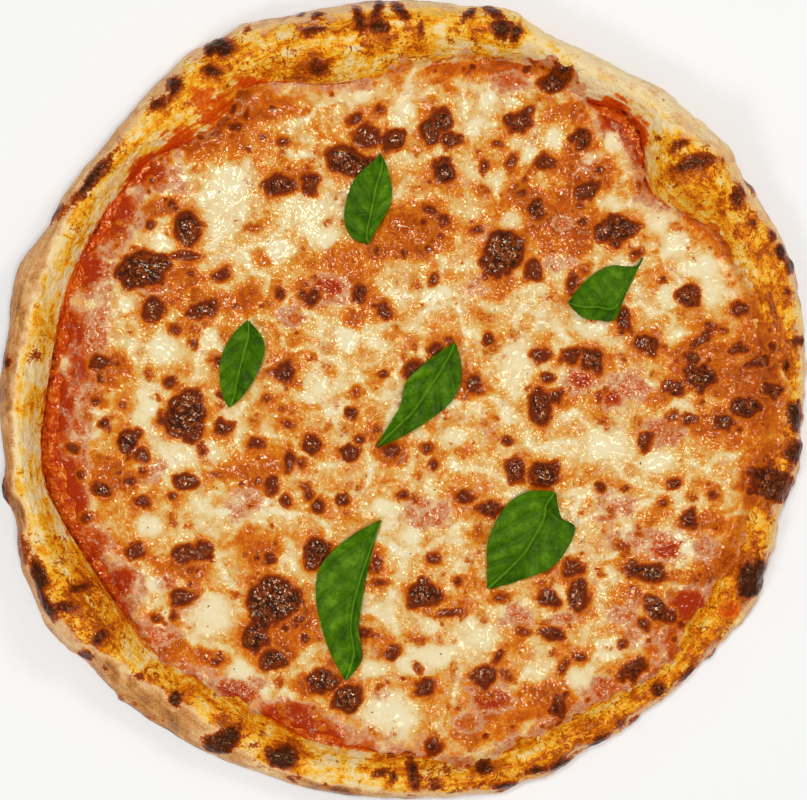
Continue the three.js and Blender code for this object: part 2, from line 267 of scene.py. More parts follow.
def ringFaces(rings):
    # faces between rings that may differ in their number of points, from the middle of the top outwards
    counts = [len(ring) for ring in rings]
    faces, start = [tuple(range(counts[0]))], 0
    for count, following in zip(counts, counts[1:]):
        after = start + count
        if count == following:
            here = np.arange(count)
            beside = (here + 1) % count
            faces += np.stack([start + here, after + here, after + beside, start + beside], 1).tolist()
        else:
            here = there = 0
            while here < count or there < following:
                pair = (start + here % count, after + there % following)
                if here == count or (there < following and (there + 1) * count <= (here + 1) * following):
                    there += 1
                    faces.append((*pair, after + there % following))
                else:
                    here += 1
                    faces.append((*pair, start + here % count))
        start = after
    faces.append(tuple(range(start + counts[-1] - 1, start - 1, -1)))
    return faces


def gridCorners(rows, columns):
    # the number of the first corner of each cell of a grid of points
    row, column = np.meshgrid(np.arange(rows - 1), np.arange(columns - 1), indexing="ij")
    return (row * columns + column).ravel()


def diskGrid(cells):
    # a square grid pressed into the unit disk, with its outermost points on the circle in order
    side = np.linspace(-1, 1, cells + 1)
    right, up = np.meshgrid(side, side, indexing="ij")
    wide = np.abs(right) > np.abs(up)
    safeRight, safeUp = np.where(right == 0, 1e-9, right), np.where(up == 0, 1e-9, up)
    radius = np.where(wide, right, up)
    angle = np.where(wide, np.pi / 4 * up / safeRight, np.pi / 2 - np.pi / 4 * right / safeUp)
    corner = gridCorners(cells + 1, cells + 1)
    faces = np.stack([corner, corner + cells + 1, corner + cells + 2, corner + 1], 1).tolist()
    low = np.arange(cells)
    last = cells * (cells + 1)
    rim = np.concatenate([low * (cells + 1), last + low, (cells - low) * (cells + 1) + cells, cells - low])
    return (radius * np.cos(angle)).ravel(), (radius * np.sin(angle)).ravel(), faces, rim


def linear(code):
    # an sRGB hex code as linear red, green, blue and full alpha
    parts = [int(code[start:start + 2], 16) / 255 for start in (1, 3, 5)]
    return (*[part / 12.92 if part <= 0.04045 else ((part + 0.055) / 1.055) ** 2.4 for part in parts], 1)


def addNode(tree, kind, inputs=None, stops=(), **settings):
    # adds a node; an input is a value, a socket that feeds it or a node whose first output does, and a
    # stop is (place on the ramp, colour)
    node = tree.nodes.new(kind)
    for name, value in settings.items():
        setattr(node, name, value)
    for key, value in (inputs or {}).items():
        if isinstance(value, bpy.types.Node):
            value = value.outputs[0]
        if isinstance(value, bpy.types.NodeSocket):
            tree.links.new(value, node.inputs[key])
        else:
            node.inputs[key].default_value = value
    for number, (place, code) in enumerate(stops):
        elements = node.color_ramp.elements
        stop = elements[number] if number < 2 else elements.new(place)
        stop.position = place
        stop.color = linear(code)
    return node


def startMaterial(name, roughness, shine, tint, fields, grains):
    # a shader, its fields from the mesh, and a noise for each grain (size in mm, detail, distortion)
    material = bpy.data.materials.new(name)
    material.use_nodes = True
    tree = material.node_tree
    tree.nodes.clear()
    shader = addNode(tree, "ShaderNodeBsdfPrincipled", {
        "Roughness": roughness, "Specular IOR Level": shine, "Specular Tint": linear(tint)})
    addNode(tree, "ShaderNodeOutputMaterial", {"Surface": shader})
    place = addNode(tree, "ShaderNodeTexCoord").outputs["Object"]
    values = [
        addNode(tree, "ShaderNodeAttribute", attribute_name=field).outputs["Fac"] for field in fields
    ]
    noises = [
        addNode(tree, "ShaderNodeTexNoise", {
            "Vector": place, "Scale": 1 / (size * mm), "Detail": detail, "Roughness": 0.6, "Distortion": bend,
        }) for size, detail, bend in grains
    ]
    return material, tree, shader, place, values, noises


def mottled(tree, amount, *textures):
    # the amount swung up and down by each texture, which averages a half, times its weight
    for texture, weight in textures:
        swing = addNode(tree, "ShaderNodeMath", {
            0: texture, 1: weight, 2: -weight / 2}, operation="MULTIPLY_ADD")
        amount = addNode(tree, "ShaderNodeMath", {0: amount, 1: swing}, operation="ADD")
    return amount


def coated(tree, below, amount, textures, low, high, *shades):
    # a coat over the colour below: it comes in as its mottled amount goes from low to high, in shades by it
    amount = mottled(tree, amount, *textures)
    cover = addNode(tree, "ShaderNodeMapRange", {
        0: amount, 1: low, 2: high}, interpolation_type="SMOOTHSTEP")
    coat = addNode(tree, "ShaderNodeValToRGB", {0: amount}, shades)
    return addNode(tree, "ShaderNodeMix", {
        0: cover, 6: below, 7: coat}, data_type="RGBA").outputs[2]


def traced(tree, amount, texture, level, steep):
    # the amount along thin lines that wander where the texture is at the level, and less beside them
    apart = addNode(tree, "ShaderNodeMath", {0: texture, 1: level}, operation="SUBTRACT")
    beside = addNode(tree, "ShaderNodeMath", {0: apart}, operation="ABSOLUTE")
    return addNode(tree, "ShaderNodeMath", {
        0: beside, 1: -steep, 2: amount}, operation="MULTIPLY_ADD").outputs[0]


def painted(tree, shader, place, colour, coats, bumps, *textures):
    # lays the coats over the colour, each (amount, textures, low, high, shades), and gives the surface smooth
    # bumps, each (size in mm, height in mm), and textures, each with its height
    for coat in coats:
        colour = coated(tree, colour, *coat)
    tree.links.new(colour, shader.inputs["Base Color"])
    heights = list(textures)
    for size, high in bumps:
        bump = addNode(tree, "ShaderNodeTexNoise", {
            "Vector": place, "Scale": 1 / (size * mm), "Detail": 0, "Distortion": 0.4})
        heights.append((bump, high))
    total = mottled(tree, 0, *heights)
    relief = addNode(tree, "ShaderNodeBump", {"Strength": 1, "Distance": mm, "Height": total})
    tree.links.new(relief.outputs[0], shader.inputs["Normal"])
    return relief


def cheeseMaterial():
    # Melted mozzarella: soft and wet with fat, so it shows many small glints, with browned blisters.
    material, tree, shader, place, fields, grains = startMaterial(
        "meltedMozzarella", 0.12, 0.35, "#ffe8c4", ("toast", "warm", "pink", "cream", "milk"),
        ((7, 3, 0.8), (3, 3, 1.2), (1.5, 3, 0.6), (0.8, 2, 0), (5.2, 3, 1.5), (2.1, 2, 0.8)))
    toast, warm, pink, cream, milk = fields
    coarse, medium, fine, grit, curd, shred = grains
    threads = traced(tree, milk, shred, 0.5, 10)
    # painted shade for the hollows, more where the cheese is warm
    paintedHollowShade = addNode(tree, "ShaderNodeMath", {0: warm, 1: 0.4, 2: 0.2}, operation="MULTIPLY_ADD")
    # small blisters: round spots whose size and browning differ from cell to cell
    cells = addNode(tree, "ShaderNodeTexVoronoi", {"Vector": place, "Scale": 1 / (5.5 * mm)})
    size = addNode(tree, "ShaderNodeMath", {
        0: cells.outputs["Color"], 1: 0.7, 2: warm}, operation="MULTIPLY_ADD")
    spot = addNode(tree, "ShaderNodeMath", {
        0: cells.outputs["Distance"], 1: -1.4, 2: size}, operation="MULTIPLY_ADD")
    lower = addNode(tree, "ShaderNodeMath", {0: spot, 1: -0.42}, operation="ADD")
    baked = addNode(tree, "ShaderNodeMath", {0: lower, 1: toast}, operation="MAXIMUM")
    coats = [
        (warm, ((coarse, 0.8), (medium, 0.5), (fine, 0.3), (grit, 0.35)), 0, 0.1, (0, "#f5e4b8"),
         (0.17, "#eed196"), (0.31, "#e6b86c"), (0.43, "#e19a3c"), (0.54, "#de7c0e"), (0.68, "#cc5c04"),
         (0.84, "#b04402"), (1, "#8c2e02")),
        # tomato that shows through, pale threads of cheese over it, and smooth creamy pools
        (pink, ((curd, 0.9), (shred, 0.7), (fine, 0.3)), 0.2, 0.5, (0.2, "#eac69a"), (0.38, "#dca47a"),
         (0.54, "#cc865c"), (0.66, "#ca682c"), (0.78, "#c64e08"), (1, "#a82c02")),
        (threads, ((medium, 0.9), (fine, 0.5)), 0.34, 0.6, (0.4, "#dca474"), (0.8, "#eccba2")),
        (cream, ((medium, 0.6), (shred, 0.5), (fine, 0.4)), 0.5, 1.1, (0.5, "#eed69a"), (1, "#f5e6ba")),
        # painted shade in the hollows, then blisters, and the blackest crust of the large ones
        (paintedHollowShade, ((shred, 0.5), (fine, 0.8), (grit, 1.1)), 0.52, 0.8, (0.5, "#cc7c2c"), (0.8, "#98480c")),
        (baked, ((medium, 0.35), (fine, 0.45), (grit, 0.4)), 0.18, 0.36, (0.2, "#e48c16"),
         (0.34, "#ce6404"), (0.5, "#a84002"), (0.64, "#7e2a02"), (0.78, "#682002"), (0.92, "#7c2e04"),
         (1, "#944004")),
        (toast, ((medium, 0.9), (shred, 0.9), (grit, 0.3)), 0.86, 1.06, (0.9, "#501602"), (1, "#3e1002")),
    ]
    relief = painted(tree, shader, place, linear("#f5e4bc"), coats, ((3, 0.42), (1.1, 0.17)))
    # the creamy pools set smoother than the rest
    calm = addNode(tree, "ShaderNodeMapRange", {0: cream, 1: 0.3, 2: 0.9, 3: 1, 4: 0.4})
    tree.links.new(calm.outputs[0], relief.inputs["Strength"])
    return material


def doughMaterial():
    # Baked wheat dough: matte where floury, satin where oil and sauce ran over it, black where scorched.
    material, tree, shader, place, fields, grains = startMaterial(
        "bakedDough", 0.5, 0.25, "#ffdca8", ("char", "oil", "flourAndShade", "red"),
        ((10, 3, 1), (4, 3, 1), (1.7, 3, 0.6), (0.8, 2, 0), (6, 1, 1.6)))
    char, oil, flourAndShade, red = fields
    coarse, medium, fine, grit, blobs = grains
    # long textures that run along the rim
    along = addNode(tree, "ShaderNodeAttribute", attribute_name="along").outputs["Vector"]
    streaks, wisps = [
        addNode(tree, "ShaderNodeTexNoise", {
            "Vector": along, "Scale": 1 / (size * mm), "Detail": 3, "Roughness": 0.6, "Distortion": 0.3,
        }) for size in (9, 5)
    ]
    oiled = mottled(tree, oil, (coarse, 1.5), (streaks, 1.1), (medium, 0.7), (fine, 0.6), (grit, 0.6))
    scribbles, bubbles = traced(tree, oil, wisps, 0.5, 14), traced(tree, oil, blobs, 0.52, 8)
    coats = [
        (oiled, (), 0, 0.1, (0, "#f7deae"), (0.26, "#f8d690"), (0.38, "#fac858"), (0.54, "#f9b626"),
         (0.66, "#f69c0e"), (0.8, "#e87c06"), (0.92, "#c05403"), (1, "#8c3403")),
        # thin brown lines that wander through the oily parts, and outlines of small bubbles in them
        (scribbles, ((coarse, 1.2), (fine, 0.8)), 0.34, 0.54, (0.4, "#dc7c0c"), (0.8, "#bc5406")),
        (bubbles, ((medium, 1.4), (grit, 0.4)), 0.38, 0.56, (0.4, "#d87008"), (0.65, "#a84605")),
        # flour, with painted shade darkening the foot of the wall, then sauce, then scorched spots
        (flourAndShade, ((coarse, 0.9), (streaks, 0.6), (grit, 0.4)), 0.25, 0.5, (0.3, "#f6dab0"), (0.5, "#e8b67c"),
         (0.72, "#cc8a48"), (0.9, "#9c602e"), (1, "#744420")),
        (red, ((medium, 0.7), (fine, 0.7), (streaks, 1.4)), 0.24, 0.48, (0.28, "#f09a1c"),
         (0.48, "#e66a08"), (0.72, "#d04004")),
        (char, ((medium, 0.7), (fine, 0.9), (grit, 0.8), (streaks, 0.4)), 0.22, 0.4, (0.25, "#da7a0a"),
         (0.4, "#b44e06"), (0.58, "#8c3404"), (0.82, "#602004"), (1, "#3c1804")),
    ]
    painted(tree, shader, place, linear("#f6dca8"), coats, ((3.5, 0.9), (1.3, 0.4)), (streaks, 0.4))
    gloss = addNode(tree, "ShaderNodeMapRange", {0: oiled, 1: 0.3, 2: 0.6, 3: 0.5, 4: 0.16})
    tree.links.new(gloss.outputs[0], shader.inputs["Roughness"])
    return material


def sauceMaterial():
    # Cooked tomato pulp: deep red, wet and grainy, with wisps of melted cheese in it.
    material, tree, shader, place, *rest, grains = startMaterial(
        "tomatoPulp", 0.12, 0.35, "#ffc898", (), ((6, 3, 1), (2.6, 3, 1), (1, 2, 0)))
    coarse, pulp, specks = grains
    coats = [
        (pulp, ((specks, 0.5), (coarse, 0.9)), 0.15, 0.25, (0.2, "#9c2402"), (0.38, "#b23404"),
         (0.54, "#c84a08"), (0.68, "#d86a12"), (0.84, "#ecb06c")),
    ]
    painted(tree, shader, place, linear("#a02804"), coats, ((3.5, 0.6), (1.4, 0.3)))
    return material


def leafMaterial():
    # A fresh basil leaf: waxy and satin, paler along its veins, with painted shade on its left half and in
    # the vein grooves.
    material, tree, shader, place, fields, grains = startMaterial(
        "basilLeaf", 0.35, 0.12, "#f4f0a0", ("vein", "toneAndPaintedShade"), ((5, 3, 0), (1.2, 2, 0)))
    vein, toneAndPaintedShade = fields
    mottle, grain = grains
    coats = [
        (toneAndPaintedShade, ((mottle, 0.9), (grain, 0.5)), 0, 0.2, (0.1, "#264a02"), (0.5, "#447004"),
         (0.9, "#6e9a14")),
        (vein, (), 0, 1, (0, "#6f9a28"), (1, "#86a838")),
    ]
    painted(tree, shader, place, linear("#24480a"), coats, ((2, 0.25),))
    return material


def finishPiece(piece, slot, *nodes):
    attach(piece, "root")
    if nodes:
        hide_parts(*nodes)


# The crust. A mark is (x, y, length, width, degrees turned, how dark from 0 to 1), of which the last two may
# be left out; a bubble is (x, y, size, height); a stain or golden patch is (x, y, width, height). "lumpy",
# "oil", "flourAndShade" and "wallFrom" are swells of a field; the flour field also carries painted shade.
crust = {
    "stations": 800,
    "slopeRows": 34,
    "wallRows": 30,
    "foldRows": 9,
    "foldWidth": 8,
    "hiddenTop": ((10, 0.06), (50, 0.3), (200, 0.75), (400, 0.97)),
    "underside": ((400, 0.96), (200, 0.85), (100, 0.6), (50, 0.35), (10, 0.08)),
    "hiddenField": 0.3,
    "unrolled": (70, 4),
    "lumpiness": 0.15,
    "flouriness": 0.4,
    # painted shade at the foot of the outer wall
    "footShade": 0.3,
    "wall": 0.74,
    "wallFade": 0.13,
    "wallWander": (0.12, 9),
    "relief": {"broad": 0.7, "fine": 0.22, "lumps": 0.9, "creases": 0.18, "domes": 0.45, "scorched": 0.2},
    "bubbles": [
        (-33, 132, 13, 2.2), (113, 90, 17, 3), (-122, -82, 18, 2.5), (-75, 131, 12, 1.5),
        (38, 143, 10, 1.5),
    ],
    "lumpy": [(0, 35, 1), (320, 30, 0.7), (95, 28, 0.7), (40, 10, 0.8), (225, 14, 0.6)],
    "marks": [
        (-89, 123, 8, 6, 30, 1), (-71, 137, 10, 8, 0, 1), (-74, 127, 8, 5, 0, 0.9), (-95, 116, 8, 5, 20),
        (-121, 86, 24, 4, 50, 1), (-135, 73, 9, 3.5, 45, 0.9), (-33, 150, 5, 4, 0, 0.9),
        (-40, 152, 4, 4, 0, 1), (-35, 143, 9, 4, 10, 0.9), (-17, 148, 13, 4, 105, 1),
        (-10, 145, 8, 6, 0, 0.9), (-10, 154, 11, 4, 80, 1), (-1, 152, 11, 4, 120, 1),
        (7, 143, 6, 3, 90, 0.9), (26, 151, 8, 4, 60, 1), (35, 151, 9, 4, 140, 1), (38, 145, 8, 6, 0, 1),
        (44, 143, 6, 5, 60, 1), (15, 132, 6, 3.5), (-33, 131, 9, 5), (112, 91, 13, 5, 10, 0.95),
        (107, 98, 6, 4), (101, 102, 3, 2), (98, 77, 3.5, 3.5), (130, 79, 10, 6, 100, 0.85),
        (137, 85, 7, 3, 110, 1), (136, 69, 5, 4, 90), (144, 64, 5, 4, 90), (148, 58, 6, 6, 0, 0.95),
        (152, 53, 6, 5, 90, 0.95), (151, 42, 4, 3), (155, 23, 8, 3.5, 10, 0.9), (151, 14, 6, 4, 90, 0.9),
        (137, -71, 15, 11, 60, 1), (113, -108, 10, 4, 45, 1), (122, -101, 6, 3, 45, 0.9),
        (92, -127, 8, 3, 30, 0.9), (100, -114, 6, 6, 0, 0.9), (77, -134, 8, 4.5, 20, 1),
        (85, -127, 5, 3, 20), (61, -143, 9, 5, 20, 1), (52, -145, 9, 4, 20, 0.95), (40, -151, 8, 4, 10, 1),
        (32, -144, 8, 5, 0, 0.9), (13, -151, 5, 4), (4, -147, 12, 5, 100, 0.95), (-4, -148, 5, 3, 90, 0.9),
        (-9, -146, 6, 3), (-5, -140, 7, 3), (-47, -140, 11, 9, 0, 1), (-70, -133, 14, 10, 30, 1),
        (-64, -128, 4, 3), (-89, -117, 6, 6, 0, 0.95), (-103, -108, 4, 3), (-122, -98.5, 6, 6, 0, 0.9),
        (-117.5, -92, 5, 5, 0, 0.85), (-141, -68, 13, 6, 110, 1), (-148, -58, 14, 7, 110, 0.55),
        (-137, -79, 14, 5, 130, 1), (-130, -80, 9, 4, 160, 0.9), (-127, -74, 7, 4, 20, 0.9),
        (-112, -118, 5, 4, 45), (-157.5, -36, 10, 6, 105, 1), (-155, 14.5, 6, 4, 80, 0.95),
        (-144, 17, 5, 3, 60, 0.6), (-138.5, -5, 7, 3.5, 15, 0.7), (145, -33, 14, 13, 0, 0.84),
        (152, -38, 7, 6, 0, 0.84), (154, -7, 13, 7, 100, 1), (154, -21, 10, 8, 90, 0.9),
    ],
    "flecks": {
        "count": 150, "place": (0.25, 0.92), "length": (2, 5), "width": (1.2, 3), "turn": (-40, 40),
        "dark": (0.35, 0.75), "dry": 0.4,
    },
    "oiliness": {
        "base": 0.23, "swells": 1, "golden": 0.22, "noise": 0.2, "wall": -0.15, "halo": 0.35,
        "fleckHalo": 0.15, "lumps": -0.25,
    },
    "redness": {"base": -0.1, "stains": 0.75, "foot": 0.7},
    "oil": [
        (10, 30, 0.33), (330, 26, 0.32), (290, 25, 0.34), (250, 16, 0.24), (222, 12, 0.24), (38, 9, 0.02),
        (92, 20, 0.26), (118, 12, 0.26), (137, 8, 0.1), (238, 8, 0.12), (291, 8, 0.12), (264, 5, -0.12),
        (60, 13, -0.24), (180, 30, 0.06), (156, 7, 0.14), (204, 5, 0.14), (20, 8, 0.1),
    ],
    # the swells at 173 and 196 degrees partly paint shade on the left of the wall
    "flourAndShade": [
        (182, 32, 0.25), (196, 14, 0.22), (262, 8, 0.38), (74, 8, -0.15), (173, 9, 0.14), (158, 10, 0.06),
        (232, 18, 0.3), (58, 14, -0.06), (140, 14, 0.1),
    ],
    "wallFrom": [(182, 28, -0.2), (233, 15, -0.32), (55, 15, -0.3), (140, 12, -0.08), (159, 10, -0.22)],
    "golden": [
        (-138, 26, 10, 10), (-145, 0, 6, 12), (-122, -82, 34, 32), (112, 86, 22, 16), (-48, 130, 26, 14),
        (-5, 138, 20, 12),
    ],
    "stains": [
        (-75, 117, 22, 12), (-60, 124, 14, 8), (-73, 109, 14, 8), (-101, 91, 16, 12), (82, 116, 14, 8),
        (-48, 118, 24, 8), (-88, 103, 16, 10), (93, 104, 8, 16), (-48, 122, 14, 8), (24, -141, 6, 3),
        (128, -82, 10, 8),
    ],
}


def footAt(degrees):
    return edgeAt(degrees) - crust["foldWidth"]


def crustSection(degrees):
    # radius, height and share of the way out of each row, from the inner slope over the crown to the foot
    inside, edge, crown, base = insideAt(degrees), edgeAt(degrees), crownAt(degrees), pizza["baseThickness"]
    low, fold, rows = pizza["edgeShare"], crust["foldWidth"], []
    for part in np.linspace(0, 1, crust["slopeRows"]):
        height = base + (crown - base) * math.sin(math.pi / 2 * part) ** pizza["slopePower"]
        rows.append((inside + 0.5 * part * (edge - inside), height, 0.5 * part))
    for angle in np.linspace(0, math.pi / 2, crust["wallRows"])[1:]:
        share = 0.5 + 0.5 * math.sin(angle)
        rows.append((inside + share * (edge - inside), crown * (low + (1 - low) * math.cos(angle)), share))
    for angle in np.linspace(0, math.pi / 2, crust["foldRows"])[1:]:
        height = low * crown * (1 - math.sin(angle))
        rows.append((edge - fold + fold * math.cos(angle), height, 1 + 0.1 * angle))
    radii, heights, shares = [np.array(column) for column in zip(*rows)]
    return radii, heights, np.repeat(shares[:, None], len(degrees), 1)


def crustFlecks():
    # small scorch flecks over the crown by a seeded rule, darker where the rim is oily
    rule, draw, flecks = crust["flecks"], np.random.default_rng(21), []
    for fleck in range(rule["count"]):
        angle = draw.uniform(0, 360)
        along = draw.uniform(*rule["place"])
        radius = insideAt(angle) + along * (edgeAt(angle) - insideAt(angle))
        oily = float(around(0, crust["oil"], angle))
        flecks.append((
            radius * math.cos(math.radians(angle)), radius * math.sin(math.radians(angle)),
            draw.uniform(*rule["length"]), draw.uniform(*rule["width"]),
            angle + 90 + draw.uniform(*rule["turn"]),
            draw.uniform(*rule["dark"]) * (rule["dry"] + min(oily * 2, 1 - rule["dry"]))))
    return flecks


def buildCrust():
    count, relief = crust["stations"], crust["relief"]
    degrees = np.arange(count) * 360 / count
    radii, heights, share = crustSection(degrees)
    turn = np.radians(degrees)[None, :]
    x, y, z = radii * np.cos(turn), radii * np.sin(turn), heights
    skin = np.stack([x, y, z], -1)
    # outward normals of the swept section, along which the skin swells
    normal = np.cross(np.gradient(skin, axis=0), np.roll(skin, -1, 1) - np.roll(skin, 1, 1))
    normal /= np.linalg.norm(normal, axis=-1, keepdims=True) + 1e-9
    swell = relief["broad"] * noise(x, y, z, 14, 3, 2) + relief["fine"] * noise(x, y, z, 4, 4, 2)
    lumps = noise(x, y, z, 7, 10, 2) * around(crust["lumpiness"], crust["lumpy"], degrees)[None, :]
    lumps = lumps * smoothStep(0.35, 0.6, share)
    swell += relief["lumps"] * lumps
    # creases that run along the rim where the dough stretched
    creases = noise(share * 40, degrees[None, :] * 0.35, 0 * x, 2, 5)
    swell += relief["creases"] * creases * smoothStep(0.3, 0.6, share)
    for atX, atY, size, high in crust["bubbles"]:
        swell += high * np.exp(-((np.hypot(x - atX, y - atY) / size) ** 3)) * (share < 0.95)
    spots = spotFields(x, y, lobed(crust["marks"], 7), 8, 2.6, 0.9)
    marks, halo, dome = [field * (share < 1.02) for field in spots]
    crags = relief["scorched"] * noise(x, y, z, 1.4, 9) * smoothStep(0.3, 0.7, marks)
    swell += relief["domes"] * dome + crags
    fade = smoothStep(0, 0.12, share) * smoothStep(0, 2, z)
    moved = skin + normal * (swell * fade)[..., None]
    moved[..., 2] = np.maximum(moved[..., 2], 0)
    flecks, fleckHalo = spotFields(x, y, crustFlecks(), 12, 3, 0.9)[:2]
    angles = np.broadcast_to(degrees[None, :], x.shape)
    oil = mixed(
        crust["oiliness"], swells=around(0, crust["oil"], angles), golden=zoneField(x, y, crust["golden"]),
        noise=noise(x, y, z, 13, 6, 2), wall=smoothStep(0.7, 1, share), halo=halo, fleckHalo=fleckHalo,
        lumps=lumps)
    # flour lies on the outer wall, above a border that wanders; painted shade darkens its foot
    wall, fade = around(crust["wall"], crust["wallFrom"], angles), crust["wallFade"]
    stray, straySize = crust["wallWander"]
    wandering = share + stray * noise(x, y, z, straySize, 11, 3)
    flourAndShade = around(crust["flouriness"], crust["flourAndShade"], angles)
    flourAndShade = flourAndShade * smoothStep(wall - fade, wall + fade, wandering)
    flourAndShade += crust["footShade"] * smoothStep(0.93, 1, share)
    red = mixed(
        crust["redness"], stains=zoneField(x, y, crust["stains"]), foot=1 - smoothStep(0, 0.16, share))
    # a place on the unrolled rim, long around and short across, for the textures that run along it
    rise = np.cumsum(np.hypot(*np.diff(np.stack([radii, heights]), axis=1, prepend=0)), axis=0)
    far, high = crust["unrolled"]
    along = np.stack([far * np.cos(turn) + 0 * x, far * np.sin(turn) + 0 * x, high * rise], -1) * mm
    fields = {"along": along, "char": np.maximum(marks, flecks), "oil": oil, "flourAndShade": flourAndShade, "red": red}
    # a hidden floor inside and a flat underside, each with fewer points towards the middle
    top = [flatRing(*ring, insideAt, pizza["baseThickness"]) for ring in crust["hiddenTop"]]
    under = [flatRing(*ring, footAt, 0) for ring in crust["underside"]]
    values = {}
    for name, field in fields.items():
        rows = field.reshape(x.size, -1)
        ends = [np.full((sum(map(len, part)), rows.shape[1]), crust["hiddenField"]) for part in (top, under)]
        values[name] = np.concatenate([ends[0], rows, ends[1]]).squeeze()
    rings = [*top, *moved, *under]
    return makeMesh("bakedCrust", np.concatenate(rings), ringFaces(rings), values, doughMaterial())


crustPiece = buildCrust()
finishPiece(crustPiece, "baked_dough", "crust")
print("crust", len(crustPiece.data.polygons))

# Thin cheese reaches further over the sauce than the thick body in some places.
thinReach = [(128, 9, 7), (322, 12, 9), (50, 5, 2), (257, 8, 2), (65.5, 3, 4)]

# The sauce shows between the rim and the cheese, and thins out over the foot of the rim.
sauce = {
    "stations": 720,
    "rows": 46,
    "from": 0.78,
    "over": 1.5,
    "relief": 0.35,
    "swollen": 0.5,
    "filmDepth": 0.7,
    "filmRise": 1.2,
    "filmFall": 0.75,
    "filmRelief": 0.3,
    "hiddenTop": ((12, 0.1), (60, 0.35), (180, 0.6)),
    "underside": ((360, 0.97), (60, 0.5), (12, 0.1)),
}


def buildSauce():
    count = sauce["stations"]
    degrees = np.arange(count) * 360 / count
    turn = np.radians(degrees)
    inside = insideAt(degrees)
    # bare: where no cheese covers the sauce
    bare = 1 - smoothStep(-4, -1, around(1, pizza["cheeseSpill"] + thinReach, degrees))
    over = sauce["over"] * (0.1 + 0.9 * bare)
    rings = [flatRing(*ring, insideAt, pizza["sauceTop"] - 0.1) for ring in sauce["hiddenTop"]]
    for row in np.linspace(0, 1, sauce["rows"]):
        radius = inside * sauce["from"] + row * (inside * (1 - sauce["from"]) + over)
        x, y = radius * np.cos(turn), radius * np.sin(turn)
        near = smoothStep(inside - 18, inside - 6, radius)
        lumpy = sauce["relief"] * flatNoise(x, y, 4, 40, 3)
        flat = pizza["sauceTop"] + near * (sauce["swollen"] + lumpy)
        fall = sauce["filmFall"] * smoothStep(0, sauce["over"], radius - inside)
        film = doughTop(x, y) - sauce["filmDepth"] + sauce["filmRise"] * bare - fall
        film += sauce["filmRelief"] * flatNoise(x, y, 6, 41)
        z = np.maximum(flat, film) if row < 1 else doughTop(x, y) - 1.2
        rings.append(np.stack([x, y, z], 1))
    rings += [flatRing(*ring, insideAt, pizza["baseThickness"] + 0.2) for ring in sauce["underside"]]
    return makeMesh("tomatoSauce", np.concatenate(rings), ringFaces(rings), {}, sauceMaterial())


saucePiece = buildSauce()
finishPiece(saucePiece, "tomato_sauce", "tomato_sauce")
print("sauce", len(saucePiece.data.polygons))

